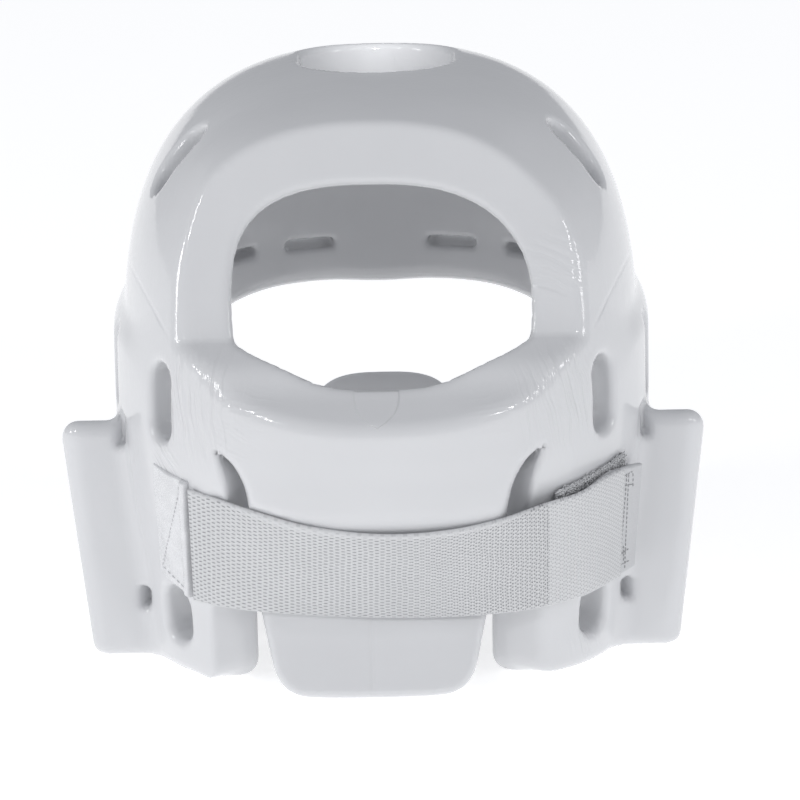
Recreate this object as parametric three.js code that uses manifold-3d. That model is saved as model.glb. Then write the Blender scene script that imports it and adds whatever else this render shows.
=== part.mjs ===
// Dipped-foam head guard for sparring: one moulded foam shell with a rear opening, a nape flap between two
// slits, ear guards and vents, a rear elastic with a hook-and-loop closure, and a chin cup on its strap.
// Millimetres, +Z up, +Y towards the face, the base plane at Z 0.
import * as THREE from "three";
import { mergeVertices } from "three/addons/utils/BufferGeometryUtils.js";
import Module from "manifold-3d";

const wasm = await Module();
wasm.setup();

// Outer and inner face of the foam: squared sections in plan, arched over the widest one by the crown's rise
const WIDEST_Z = 105;
const CROWN_SIDE = 94;
const OUTER = { inset: 0, planPower: 2.3, crownPower: 2.75, rise: 107, roundSteps: 56, crownSteps: 10 };
const INNER = { inset: 16.8, planPower: 2.5, crownPower: 3.3, rise: 86.5, roundSteps: 44, crownSteps: 8 };

// The side wall stands proud of the crown below this soft step
const STEP_HEIGHT = 4;
const STEP_LOW_Z = 119;
const STEP_HIGH_Z = 131;

// Half sizes of the wall's horizontal sections below the crown
const WALL_ROWS = [
  { z: 0, side: 92, back: 89, front: 108 },
  { z: 30, side: 95, back: 90.5, front: 112 },
  { z: 45, side: 96, back: 96, front: 114 },
  { z: 60, side: 97, back: 104, front: 116 },
  { z: 75, side: 97.6, back: 112, front: 117 },
  { z: 90, side: 98, back: 118, front: 118.6 },
  { z: 105, side: 98, back: 119, front: 119 },
];

const WALL_STEP_Z = 10.5;

// Cutting solids reach past the foam to these limits, and start inside its hollow
const CLEAR = 140;
const BELOW_BASE = -10;
const IN_HOLLOW = 60;

// Nape flap: half width of the tongue and how far back its outer face lies at each height
const FLAP_ROWS = [
  { z: 0, halfWidth: 21, back: 94.5 },
  { z: 1.5, halfWidth: 28, back: 94 },
  { z: 5, halfWidth: 33.5, back: 92.8 },
  { z: 14.5, halfWidth: 37.2, back: 89.3 },
  { z: 22, halfWidth: 39.1, back: 86.5 },
  { z: 32, halfWidth: 41.3, back: 84 },
  { z: 48, halfWidth: 43, back: 96.6 },
  { z: 61, halfWidth: 44.3, back: 107 },
  { z: 69, halfWidth: 44.9, back: 113.4 },
  { z: 77, halfWidth: 45.4, back: 117.4 },
  { z: 85, halfWidth: 47, back: 118.3 },
  { z: 90, halfWidth: 49.4, back: 118.5 },
  { z: 94, halfWidth: 52.4, back: 118.4 },
  { z: 98, halfWidth: 57, back: 118 },
  { z: 108, halfWidth: 58, back: 117.6 },
];
const FLAP_JOIN_Z = 98;
const FLAP_THICK = 13;
const FLAP_OVERLAP = { halfHeight: 3, depth: 1.2 };
// Rows of the flap crowd towards its base, where the tongue's corners turn
const FLAP_STEPS = { across: 12, up: 20, crowding: 1.4 };

// Gap that the flap hangs in: half of it at the inner corner of the wall's end, where that corner lies,
// and how far the end face slants outwards for each millimetre towards the back
const SLIT_ROWS = [
  { z: BELOW_BASE, halfGap: 42.3, innerY: -68, slant: 2.4 },
  { z: 28, halfGap: 42.3, innerY: -68, slant: 2.4 },
  { z: 45, halfGap: 44, innerY: -75, slant: 1.65 },
  { z: 61, halfGap: 45.5, innerY: -82, slant: 1 },
  { z: 69, halfGap: 46.2, innerY: -84, slant: 0.75 },
  { z: 77, halfGap: 46.7, innerY: -84, slant: 0.62 },
  { z: 85, halfGap: 48.3, innerY: -84, slant: 0.47 },
  { z: 90, halfGap: 50.8, innerY: -84, slant: 0.34 },
  { z: 94, halfGap: 54, innerY: -84, slant: 0.19 },
  { z: FLAP_JOIN_Z, halfGap: 58, innerY: -84, slant: 0 },
];
const SLIT_FRONT_Y = -40;
const SLIT_BACK_Y = -106;

// Rear opening, seen from the side, with the rounding of each corner
const REAR_OPENING = [
  { y: -52, z: 235, round: 5 },
  { y: -85.5, z: 133, round: 1 },
  { y: -98, z: 127, round: 6 },
  { y: -103, z: 119, round: 6 },
  { y: -121, z: 108.5, round: 5 },
  { y: -170, z: 100, round: 5 },
  { y: -170, z: 235, round: 5 },
];

// Face opening, seen from the front
const FACE_OPENING = [
  { x: 0, z: 100.3 },
  { x: 20, z: 101.8 },
  { x: 46, z: 101 },
  { x: 65, z: 96 },
  { x: 69, z: 78 },
  { x: 67, z: 50 },
  { x: 71, z: 22 },
  { x: 80, z: BELOW_BASE },
];
const FACE_OPENING_FROM_Y = 30;
const FACE_OPENING_ROUND = 10;

// Ear guards: outer edge from behind, outline from above, and a top that falls towards the front
const EAR_TOP_Z = 92.5;
const EAR_FRONT_TOP_Z = 52;
const EAR_OUT_TOP = 117.5;
const EAR_OUT_BOTTOM = 107.5;
const EAR_BACK_Y = -43;
const EAR_BEND_Y = 16;
const EAR_FRONT_Y = 58;
const EAR_FRONT_X = 88;
const EAR_EDGE_ROUND = 7;
const EAR_INNER_X = 74;
const EAR_RECESS = { y: -6, z: 44, length: 44, height: 64, depthX: 100 };

// Scoops in the ear guards' back faces, upright on the wall's side and ramped out to the face
const EAR_SCOOPS = [
  { fromX: 93, width: 4.5, depth: 7, lowZ: 81.5, topZ: 94.5 },
  { fromX: 85.6, width: 5, depth: 7.5, lowZ: 20, topZ: 28.5 },
];

// Vents: centre by its height and plan angle from straight back, and size of the mouth
const SIDE_VENTS = [
  { z: 186, angle: 75, length: 29, width: 16 },
  { z: 108, angle: 80, length: 28, width: 12 },
  { z: 109, angle: 51.5, length: 28, width: 13 },
  { z: 23, angle: 51, length: 21, width: 13.5 },
];
const BROW_SLOTS = { z: 118.5, angles: [-139.5, -163.6, 163.6, 139.5], length: 20, width: 4.2 };
const VENT_REACH = { inward: 23, outward: 11 };
const TOP_SLOT = { y: 22.5, length: 69, width: 56, fromZ: 160, toZ: 240, arcSteps: 10 };

// Rear strap: top and bottom edge of its inner face where it spans freely, from left to right
const STRAP_THICK = 1.8;
const STRAP_FREE_ROWS = [
  { top: [-57.4, -98.5, 79.6], low: [-59.4, -77.8, 32.9] },
  { top: [-43.2, -108, 77.5], low: [-45.1, -80.5, 31.7] },
  { top: [-25.8, -114.2, 74.2], low: [-27.2, -82.8, 31] },
  { top: [-0.4, -116.6, 71.6], low: [-1.1, -84.6, 30.2] },
  { top: [22.9, -114.6, 72.1], low: [22.8, -83.2, 29.5] },
  { top: [42.3, -108.5, 74.3], low: [42.5, -81, 29.7] },
  { top: [54.8, -102.4, 76.7], low: [55.1, -80.6, 31.2] },
];

// Sections where the strap lies on the wall: under the tab at the left, on the closure at the right
const STRAP_LEFT_END = { topX: -68, topZ: 81.4, lowX: -68, lowZ: 32.9 };
const STRAP_RIGHT_ROWS = [
  { topX: 66.2, topZ: 78.5, lowX: 66.2, lowZ: 33.7 },
  { topX: 73.2, topZ: 79.7, lowX: 73.2, lowZ: 34.8 },
  { topX: 80.2, topZ: 81, lowX: 80, lowZ: 35.3 },
  { topX: 86.4, topZ: 80.6, lowX: 84.2, lowZ: 34.6 },
];
const STRAP_STEPS = { along: 32, up: 3 };

const TOUCH_GAP = 0.4;
const STRAP_END_GAP = 0.9;
const TAB_THICK = 2.4;
const LOOP_THICK = 1.8;
const HOOK_THICK = 1.4;
const STACK_GAP = 3.5 * TOUCH_GAP;
const SHEET_STEPS = { across: 8, up: 5 };

// Sheets on the wall: x and height of their corners, and their distances from the foam
const TAB = {
  corners: { topStart: [-81.6, 85], topEnd: [-68.7, 83], lowEnd: [-68.7, 33], lowStart: [-80.6, 39] },
  near: TOUCH_GAP,
  far: TOUCH_GAP + TAB_THICK,
};
const LOOP = {
  corners: { topStart: [60, 80.2], topEnd: [85.4, 84.2], lowEnd: [83.4, 36.5], lowStart: [60, 36.5] },
  near: TOUCH_GAP,
  far: TOUCH_GAP + LOOP_THICK,
};
const HOOK = {
  corners: { topStart: [66, 77.8], topEnd: [88.6, 80.6], lowEnd: [85.8, 35], lowStart: [66, 35.5] },
  near: 2 * TOUCH_GAP + LOOP_THICK,
  far: 2 * TOUCH_GAP + LOOP_THICK + HOOK_THICK,
};

// Chin strap and cup
const CHIN_STRAP = { topZ: 53, lowZ: 15, thick: 1.8, gap: 0.7, endAngle: 120, steps: { along: 32, up: 2 } };
const CHIN_CUP = { midZ: 37, halfHeight: 24.5, halfWidth: 30, thick: 9, power: 3.2, tipAngle: 80, steps: 10 };

const FOAM_SKIN = { color: 0xe4e5e8, roughness: 0.3 };
const ELASTIC = { color: 0xd6d7d9, roughness: 0.9 };
const LOOP_PILE = { color: 0xdadbdd, roughness: 0.95 };
const HOOK_TAPE = { color: 0xdadbdd, roughness: 0.85 };
const TAB_SKIN = { color: 0xe2e3e6, roughness: 0.4 };

const rad = THREE.MathUtils.degToRad;
const lerp = THREE.MathUtils.lerp;

// Value of a column at height z, on a smooth curve through the rows
function column(rows, name, z) {
  const last = rows.length - 1;
  const slope = (i) => {
    const a = rows[Math.max(i - 1, 0)];
    const b = rows[Math.min(i + 1, last)];
    return (b[name] - a[name]) / (b.z - a.z);
  };
  if (z <= rows[0].z) return rows[0][name] + slope(0) * (z - rows[0].z);
  if (z >= rows[last].z) return rows[last][name];
  const i = rows.findIndex((row, k) => z <= rows[k + 1].z);
  const [a, b] = [rows[i], rows[i + 1]];
  const span = b.z - a.z;
  const t = (z - a.z) / span;
  const lowPart = (1 + 2 * t) * (1 - t) ** 2 * a[name] + t * (1 - t) ** 2 * span * slope(i);
  const highPart = t * t * (3 - 2 * t) * b[name] + t * t * (t - 1) * span * slope(i + 1);
  return lowPart + highPart;
}

// Half sizes of one face's section at height z
function halfSizes(face, z) {
  const height = Math.min(Math.max((z - WIDEST_Z) / face.rise, 0), 1);
  const scale = (1 - height ** face.crownPower) ** (1 / face.crownPower);
  const step = STEP_HEIGHT * (1 - THREE.MathUtils.smoothstep(z, STEP_LOW_Z, STEP_HIGH_Z));
  const side = z < WIDEST_Z ? column(WALL_ROWS, "side", z) : CROWN_SIDE + step;
  return {
    side: (side - face.inset) * scale,
    back: (column(WALL_ROWS, "back", z) - face.inset) * scale,
    front: (column(WALL_ROWS, "front", z) - face.inset) * scale,
  };
}

// Point of a face at a plan angle measured from straight back, turning towards +X
function facePoint(face, angle, z) {
  const size = halfSizes(face, z);
  const power = 2 / face.planPower;
  const across = Math.sin(rad(angle));
  const along = -Math.cos(rad(angle));
  const reach = along < 0 ? size.back : size.front;
  return new THREE.Vector3(
    size.side * Math.sign(across) * Math.abs(across) ** power,
    reach * Math.sign(along) * Math.abs(along) ** power,
    z,
  );
}

// How far back a squared section of these half sizes lies at x
function backAt(x, side, back) {
  const power = OUTER.planPower;
  return back * Math.max(1 - (Math.abs(x) / side) ** power, 0) ** (1 / power);
}

// Point on the foam's outer face, moved out along its normal by offset
function wallPoint(angle, z, offset) {
  const step = 0.5;
  const at = (a, h) => facePoint(OUTER, a, h);
  const round = at(angle + step, z).sub(at(angle - step, z));
  const up = at(angle, z + step).sub(at(angle, z - step));
  const normal = round.cross(up).normalize();
  return { point: at(angle, z).addScaledVector(normal, offset), normal };
}

// Plan angle at which the outer face at height z has this x, on the back half
function angleAtX(x, z) {
  const share = Math.min(Math.abs(x) / halfSizes(OUTER, z).side, 1);
  const angle = THREE.MathUtils.radToDeg(Math.asin(share ** (OUTER.planPower / 2)));
  return Math.sign(x) * angle;
}

function geometryOf(points, triangles) {
  const geometry = new THREE.BufferGeometry();
  const places = points.flatMap((p) => [p.x, p.y, p.z]);
  geometry.setAttribute("position", new THREE.Float32BufferAttribute(places, 3));
  geometry.setIndex(triangles);
  return geometry;
}

// Closed loft through rings of equal count, with a fan on the first ring and a single point on top
function loftToPoint(rings, apex) {
  const count = rings[0].length;
  const points = rings.flat();
  const centre = rings[0].reduce((sum, p) => sum.add(p), new THREE.Vector3()).divideScalar(count);
  const bottom = points.push(centre) - 1;
  const top = points.push(apex) - 1;
  const triangles = [];
  for (let i = 0; i < count; i++) {
    const next = (i + 1) % count;
    triangles.push(bottom, next, i);
    for (let row = 0; row + 1 < rings.length; row++) {
      const [a, b] = [row * count, (row + 1) * count];
      triangles.push(a + i, a + next, b + i, a + next, b + next, b + i);
    }
    const edge = (rings.length - 1) * count;
    triangles.push(edge + i, edge + next, top);
  }
  return geometryOf(points, triangles);
}

// Closed sheet between an outer and an inner face, both functions of u and v from 0 to 1
function thickSheet(uSteps, vSteps, outer, inner) {
  const points = [];
  for (const face of [outer, inner]) {
    for (let j = 0; j <= vSteps; j++) {
      for (let i = 0; i <= uSteps; i++) points.push(face(i / uSteps, j / vSteps));
    }
  }
  const layer = (uSteps + 1) * (vSteps + 1);
  const at = (i, j, side) => side * layer + j * (uSteps + 1) + i;
  const triangles = [];
  const quad = (a, b, c, d) => triangles.push(a, b, c, a, c, d);
  for (let j = 0; j < vSteps; j++) {
    for (let i = 0; i < uSteps; i++) {
      quad(at(i, j, 0), at(i + 1, j, 0), at(i + 1, j + 1, 0), at(i, j + 1, 0));
      quad(at(i, j, 1), at(i, j + 1, 1), at(i + 1, j + 1, 1), at(i + 1, j, 1));
    }
    quad(at(0, j, 1), at(0, j, 0), at(0, j + 1, 0), at(0, j + 1, 1));
    quad(at(uSteps, j, 0), at(uSteps, j, 1), at(uSteps, j + 1, 1), at(uSteps, j + 1, 0));
  }
  for (let i = 0; i < uSteps; i++) {
    quad(at(i, 0, 1), at(i + 1, 0, 1), at(i + 1, 0, 0), at(i, 0, 0));
    quad(at(i, vSteps, 0), at(i + 1, vSteps, 0), at(i + 1, vSteps, 1), at(i, vSteps, 1));
  }
  return geometryOf(points, triangles);
}

// A closed geometry as a solid for joining and cutting
function solid(geometry) {
  const bare = geometry.clone();
  bare.deleteAttribute("normal");
  bare.deleteAttribute("uv");
  const merged = mergeVertices(bare, 1e-3);
  return new wasm.Manifold(
    new wasm.Mesh({
      numProp: 3,
      vertProperties: merged.attributes.position.array,
      triVerts: new Uint32Array(merged.index.array),
    }),
  );
}

function geometryOfSolid(made) {
  const mesh = made.getMesh();
  const geometry = new THREE.BufferGeometry();
  geometry.setAttribute("position", new THREE.BufferAttribute(mesh.vertProperties, 3));
  geometry.setIndex(new THREE.BufferAttribute(mesh.triVerts, 1));
  geometry.computeVertexNormals();
  return geometry;
}

// Outline with its corners rounded off by arc-like curves that start this far from each corner
function roundedShape(corners, roundAt) {
  const shape = new THREE.Shape();
  corners.forEach((corner, i) => {
    const before = corners.at(i - 1);
    const after = corners[(i + 1) % corners.length];
    const reach = Math.min(roundAt(i), corner.distanceTo(before) / 2, corner.distanceTo(after) / 2);
    const start = corner.clone().lerp(before, reach / corner.distanceTo(before));
    const end = corner.clone().lerp(after, reach / corner.distanceTo(after));
    if (i === 0) shape.moveTo(start.x, start.y);
    else shape.lineTo(start.x, start.y);
    shape.quadraticCurveTo(corner.x, corner.y, end.x, end.y);
  });
  shape.closePath();
  return shape;
}

function capsuleShape(length, width) {
  const reach = (length - width) / 2;
  const shape = new THREE.Shape();
  shape.absarc(reach, 0, width / 2, -Math.PI / 2, Math.PI / 2);
  shape.absarc(-reach, 0, width / 2, Math.PI / 2, (3 * Math.PI) / 2);
  shape.closePath();
  return shape;
}

function extrude(shape, depth, curveSegments = 4) {
  return new THREE.ExtrudeGeometry(shape, { depth, bevelEnabled: false, curveSegments });
}

// Prism along X of an outline in (y, z)
function prismAlongX(shape, fromX, toX) {
  const geometry = extrude(shape, toX - fromX);
  const turn = new THREE.Matrix4().makeBasis(
    new THREE.Vector3(0, 1, 0),
    new THREE.Vector3(0, 0, 1),
    new THREE.Vector3(1, 0, 0),
  );
  return solid(geometry.applyMatrix4(turn).translate(fromX, 0, 0));
}

// Prism along Y of an outline in (x, z)
function prismAlongY(shape, fromY, toY) {
  return solid(extrude(shape, toY - fromY).rotateX(Math.PI / 2).translate(0, toY, 0));
}

function prismAlongZ(shape, fromZ, toZ) {
  return solid(extrude(shape, toZ - fromZ).translate(0, 0, fromZ));
}

// Capsule-shaped hole through the wall along its normal, the long axis up the wall or round it
function wallHole(angle, z, { length, width }, longAxisUp) {
  const { point, normal } = wallPoint(angle, z, 0);
  const round = new THREE.Vector3(0, 0, 1).cross(normal).normalize();
  const up = normal.clone().cross(round);
  const long = longAxisUp ? up : round;
  const short = normal.clone().cross(long);
  const hole = extrude(capsuleShape(length, width), VENT_REACH.inward + VENT_REACH.outward);
  const place = new THREE.Matrix4().makeBasis(long, short, normal).setPosition(point);
  return solid(hole.translate(0, 0, -VENT_REACH.inward).applyMatrix4(place));
}

// Solid bounded by one face of the foam
function foamForm(face, fromZ) {
  const { roundSteps, crownSteps } = face;
  const heights = [fromZ];
  for (let z = WALL_STEP_Z; z <= WIDEST_Z; z += WALL_STEP_Z) heights.push(z);
  for (let k = 1; k < crownSteps; k++) {
    heights.push(WIDEST_Z + face.rise * Math.sin((k / crownSteps) * (Math.PI / 2)) ** (2 / face.crownPower));
  }
  const angles = Array.from({ length: roundSteps }, (_, i) => (i * 360) / roundSteps);
  const rings = heights.map((z) => angles.map((angle) => facePoint(face, angle, z)));
  return solid(loftToPoint(rings, new THREE.Vector3(0, 0, WIDEST_Z + face.rise)));
}

function earGuard(side) {
  const mirrored = (corners) => corners.map(([x, y]) => new THREE.Vector2(side * x, y));
  const fromBehind = mirrored([
    [EAR_INNER_X, 0],
    [EAR_OUT_BOTTOM, 0],
    [EAR_OUT_TOP, EAR_TOP_Z],
    [EAR_INNER_X, EAR_TOP_Z],
  ]);
  const fromAbove = mirrored([
    [IN_HOLLOW, EAR_BACK_Y],
    [EAR_OUT_TOP, EAR_BACK_Y],
    [EAR_OUT_TOP, EAR_BEND_Y],
    [EAR_FRONT_X, EAR_FRONT_Y],
    [IN_HOLLOW, EAR_FRONT_Y],
  ]);
  const fromSide = new THREE.Shape([
    new THREE.Vector2(EAR_BACK_Y, 0),
    new THREE.Vector2(EAR_FRONT_Y, 0),
    new THREE.Vector2(EAR_FRONT_Y, EAR_FRONT_TOP_Z),
    new THREE.Vector2(EAR_BACK_Y, EAR_TOP_Z),
  ]);
  const edge = () => EAR_EDGE_ROUND;
  return prismAlongY(roundedShape(fromBehind, edge), EAR_BACK_Y, EAR_FRONT_Y)
    .intersect(prismAlongZ(roundedShape(fromAbove, edge), 0, EAR_TOP_Z))
    .intersect(prismAlongX(fromSide, -CLEAR, CLEAR));
}

function earRecess(side) {
  const { y, z, length, height, depthX } = EAR_RECESS;
  const shape = new THREE.Shape();
  shape.absellipse(y, z, length / 2, height / 2, 0, 2 * Math.PI);
  return side > 0 ? prismAlongX(shape, IN_HOLLOW, depthX) : prismAlongX(shape, -depthX, -IN_HOLLOW);
}

function earScoop(side, { fromX, width, depth, lowZ, topZ }) {
  const mouthY = EAR_BACK_Y - TOUCH_GAP;
  const corners = [
    [fromX, mouthY],
    [fromX + width, mouthY],
    [fromX, EAR_BACK_Y + depth],
  ];
  const shape = new THREE.Shape(corners.map(([x, y]) => new THREE.Vector2(side * x, y)));
  return prismAlongZ(shape, lowZ, topZ);
}

// Nape flap: a curved tongue whose outer face follows the flap rows
function napeFlap() {
  const { halfHeight, depth: overlapDepth } = FLAP_OVERLAP;
  const face = (inset) => (u, v) => {
    const z = lerp(FLAP_ROWS[0].z, FLAP_ROWS.at(-1).z, v ** FLAP_STEPS.crowding);
    const overlap = THREE.MathUtils.smoothstep(z, FLAP_JOIN_Z - halfHeight, FLAP_JOIN_Z + halfHeight);
    const depth = inset + (inset > 0 ? -overlap : overlap) * overlapDepth;
    const x = lerp(-1, 1, u) * column(FLAP_ROWS, "halfWidth", z);
    const back = column(FLAP_ROWS, "back", z) - depth;
    return new THREE.Vector3(x, -backAt(x, WALL_ROWS.at(-1).side - depth, back), z);
  };
  return solid(thickSheet(FLAP_STEPS.across, FLAP_STEPS.up, face(0), face(FLAP_THICK)));
}

// Gap round the flap: straight in front of the inner corners of the walls' ends, slanting out behind them,
// and straight again behind the walls
function slitGap() {
  const last = SLIT_ROWS.length - 1;
  const face = (y) => (u, v) => {
    const { z, halfGap, innerY, slant } = SLIT_ROWS[Math.round(v * last)];
    const at = y ?? innerY;
    const half = halfGap + slant * (innerY - THREE.MathUtils.clamp(at, SLIT_BACK_Y, innerY));
    return new THREE.Vector3(lerp(-half, half, u), at, z);
  };
  const between = (back, front) => solid(thickSheet(1, last, back, front));
  const corners = face();
  return between(face(-CLEAR), face(SLIT_BACK_Y))
    .add(between(face(SLIT_BACK_Y), corners))
    .add(between(corners, face(SLIT_FRONT_Y)));
}

function faceOpening() {
  const right = FACE_OPENING.map(({ x, z }) => new THREE.Vector2(x, z));
  const left = right.slice(1).map((p) => new THREE.Vector2(-p.x, p.y)).reverse();
  const shape = roundedShape([...left, ...right], () => FACE_OPENING_ROUND);
  return prismAlongY(shape, FACE_OPENING_FROM_Y, CLEAR);
}

function rearOpening() {
  const corners = REAR_OPENING.map(({ y, z }) => new THREE.Vector2(y, z));
  return prismAlongX(roundedShape(corners, (i) => REAR_OPENING[i].round), -CLEAR, CLEAR);
}

function topSlot() {
  const { y, length, width, fromZ, toZ, arcSteps } = TOP_SLOT;
  const opening = extrude(capsuleShape(length, width), toZ - fromZ, arcSteps);
  return solid(opening.rotateZ(Math.PI / 2).translate(0, y, fromZ));
}

function foamShell() {
  let foam = foamForm(OUTER, 0);
  for (const side of [-1, 1]) foam = foam.add(earGuard(side));
  foam = foam.subtract(foamForm(INNER, BELOW_BASE)).subtract(rearOpening());
  foam = foam.subtract(slitGap()).subtract(faceOpening()).add(napeFlap());
  for (const side of [-1, 1]) {
    foam = foam.subtract(earRecess(side));
    for (const vent of SIDE_VENTS) foam = foam.subtract(wallHole(side * vent.angle, vent.z, vent, true));
    for (const scoop of EAR_SCOOPS) foam = foam.subtract(earScoop(side, scoop));
  }
  for (const angle of BROW_SLOTS.angles) {
    foam = foam.subtract(wallHole(angle, BROW_SLOTS.z, BROW_SLOTS, false));
  }
  return foam.subtract(topSlot());
}

// Point at a distance from the wall, by its x on the back half
function atX(x, z, offset) {
  return wallPoint(angleAtX(x, z), z, offset).point;
}

// Sheet that lies on the wall between four corners
function wallSheet({ corners, near, far }) {
  const { topStart, topEnd, lowStart, lowEnd } = corners;
  const mix = (k, u, v) => lerp(lerp(lowStart[k], lowEnd[k], u), lerp(topStart[k], topEnd[k], u), v);
  const face = (offset) => (u, v) => atX(mix(0, u, v), mix(1, u, v), offset);
  return thickSheet(SHEET_STEPS.across, SHEET_STEPS.up, face(far), face(near));
}

// Sections of the rear strap from left to right, each with a top and a bottom point on its inner face
function strapSections() {
  const onWall = (offset) => ({ topX, topZ, lowX, lowZ }) => ({
    top: atX(topX, topZ, offset),
    low: atX(lowX, lowZ, offset),
  });
  const free = STRAP_FREE_ROWS.map(({ top, low }) => ({
    top: new THREE.Vector3(...top),
    low: new THREE.Vector3(...low),
  }));
  const stacked = STACK_GAP + LOOP_THICK + HOOK_THICK;
  return [onWall(STRAP_END_GAP)(STRAP_LEFT_END), ...free, ...STRAP_RIGHT_ROWS.map(onWall(stacked))];
}

function rearStrap(near, far) {
  const sections = strapSections();
  const topLine = new THREE.CatmullRomCurve3(sections.map((s) => s.top), false, "centripetal");
  const lowLine = new THREE.CatmullRomCurve3(sections.map((s) => s.low), false, "centripetal");
  const face = (offset) => (u, v) => {
    const top = topLine.getPoint(u);
    const low = lowLine.getPoint(u);
    const along = topLine.getTangent(u).add(lowLine.getTangent(u)).normalize();
    const normal = along.cross(top.clone().sub(low)).normalize();
    return low.lerp(top, v).addScaledVector(normal, offset);
  };
  return thickSheet(STRAP_STEPS.along, STRAP_STEPS.up, face(far), face(near));
}

function chinStrap() {
  const { topZ, lowZ, thick, gap, endAngle, steps } = CHIN_STRAP;
  const face = (offset) => (u, v) => {
    const angle = lerp(endAngle, 360 - endAngle, u);
    return wallPoint(angle, lerp(lowZ, topZ, v), offset).point;
  };
  return thickSheet(steps.along, steps.up, face(gap + thick), face(gap));
}

function chinCup() {
  const { midZ, halfHeight, halfWidth, thick, power, tipAngle, steps } = CHIN_CUP;
  const face = (offset) => (u, v) => {
    const rise = Math.sin(rad(lerp(-tipAngle, tipAngle, v)));
    const width = halfWidth * (1 - Math.abs(rise) ** power) ** (1 / power);
    const z = midZ + halfHeight * rise;
    return wallPoint(180 - angleAtX(lerp(1, -1, u) * width, z), z, offset).point;
  };
  return thickSheet(steps, steps, face(0), face(-thick));
}

function group(name, ...members) {
  const made = new THREE.Group();
  made.name = name;
  made.add(...members);
  return made;
}

function piece(name, geometry, finish) {
  const mesh = new THREE.Mesh(geometry, new THREE.MeshStandardMaterial(finish));
  mesh.name = name;
  return mesh;
}

// The foam is pressed in where the strap crosses it
const strapRoom = solid(rearStrap(-TOUCH_GAP, STRAP_THICK + TOUCH_GAP));
const shell = piece("foam_shell", geometryOfSolid(foamShell().subtract(strapRoom)), FOAM_SKIN);

const rearClosure = group(
  "rear_closure",
  piece("rear_strap", rearStrap(0, STRAP_THICK), ELASTIC),
  piece("strap_tab", wallSheet(TAB), TAB_SKIN),
  piece("loop_patch", wallSheet(LOOP), LOOP_PILE),
  piece("hook_tab", wallSheet(HOOK), HOOK_TAPE),
);

const chinHarness = group(
  "chin_harness",
  piece("chin_strap", chinStrap(), ELASTIC),
  piece("chin_cup", chinCup(), FOAM_SKIN),
);

export default group("head_guard", shell, rearClosure, chinHarness);
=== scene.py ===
"""Karate head guard of vinyl-dipped foam: moulded shell, rear elastic with tape, chin elastic and pad."""

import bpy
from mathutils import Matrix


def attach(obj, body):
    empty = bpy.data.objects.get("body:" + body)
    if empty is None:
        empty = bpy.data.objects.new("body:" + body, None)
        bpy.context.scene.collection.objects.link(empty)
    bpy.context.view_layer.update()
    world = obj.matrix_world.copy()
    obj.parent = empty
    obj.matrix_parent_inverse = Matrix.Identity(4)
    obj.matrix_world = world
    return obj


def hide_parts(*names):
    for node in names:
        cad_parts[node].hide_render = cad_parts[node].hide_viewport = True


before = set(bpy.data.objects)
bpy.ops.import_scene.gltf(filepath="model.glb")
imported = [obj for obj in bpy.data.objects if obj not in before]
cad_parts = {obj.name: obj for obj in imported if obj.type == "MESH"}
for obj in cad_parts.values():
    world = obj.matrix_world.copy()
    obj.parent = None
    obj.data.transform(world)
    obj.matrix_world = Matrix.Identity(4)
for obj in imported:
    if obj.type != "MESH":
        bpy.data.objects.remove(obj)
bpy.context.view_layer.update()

import logging
from collections.abc import Callable, Mapping, Sequence
from dataclasses import dataclass
from enum import Enum

import bmesh
import bpy
import numpy as np
from mathutils import Matrix, Vector

LOG = logging.getLogger("head_guard")
MM = 0.001
WELD = 2e-6
DEGENERATE = 1e-7
BODY = "root"
Array = np.ndarray
Field = Callable[[Array, Array, Array], Array]
Place = Callable[[Array, Array], tuple[Array, Array]]
Rows = Sequence[Sequence[float]]


class Slot(Enum):
    """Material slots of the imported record."""

    FOAM = "dipped_foam"
    ELASTIC = "elastic"
    TAB = "vinyl_tab"
    LOOP = "loop_tape"
    HOOK = "hook_tape"


def smoothstep(value: Array, low: float, high: float) -> Array:
    """Rise from 0 at low to 1 at high on the cubic 3t^2 - 2t^3."""
    t = np.clip((value - low) / (high - low), 0.0, 1.0)
    return t * t * (3.0 - 2.0 * t)


def blend(a: Array, b: Array, share: Array) -> Array:
    """Straight mix of a and b."""
    return a + (b - a) * share


def unit(vectors: Array) -> Array:
    """Vectors scaled to length 1 along the last axis."""
    return vectors / np.maximum(np.linalg.norm(vectors, axis=-1, keepdims=True), 1e-9)


def round_max(a: Array, b: Array, radius: float) -> Array:
    """Intersection of two signed distances whose meeting edge is an arc of this radius.

    Args:
        a: signed distance of the first solid, negative inside.
        b: signed distance of the second solid.
        radius: radius of the arc along the edge, in mm.

    Returns:
        The larger distance, with a quarter circle where both are within the radius of the edge.
    """
    arc = np.hypot(np.maximum(a + radius, 0.0), np.maximum(b + radius, 0.0))
    return np.minimum(np.maximum(a, b), -radius) + arc


def round_min(a: Array, b: Array, radius: float) -> Array:
    """Union of two signed distances with a fillet of this radius in the corner."""
    return -round_max(-a, -b, radius)


def rounded_outline(corners: Rows, radius: float | Sequence[float], steps: int = 4) -> Array:
    """Closed outline with each corner replaced by a parabola arc.

    Args:
        corners: corner points in order.
        radius: how far from the corner each arc starts, for all or for each; at most half of an edge.
        steps: points on each arc, less one.

    Returns:
        Outline points, one row each.
    """
    at = np.asarray(corners, float)
    before, after = np.roll(at, 1, 0), np.roll(at, -1, 0)
    to_before, to_after = before - at, after - at
    shorter = np.minimum(np.linalg.norm(to_before, axis=1), np.linalg.norm(to_after, axis=1)) / 2
    reach = np.minimum(radius, shorter)[:, None]
    start, end = at + reach * unit(to_before), at + reach * unit(to_after)
    t = np.linspace(0.0, 1.0, steps + 1)[None, :, None]
    arcs = (1 - t) ** 2 * start[:, None] + 2 * t * (1 - t) * at[:, None] + t * t * end[:, None]
    return arcs.reshape(-1, 2)


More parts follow.
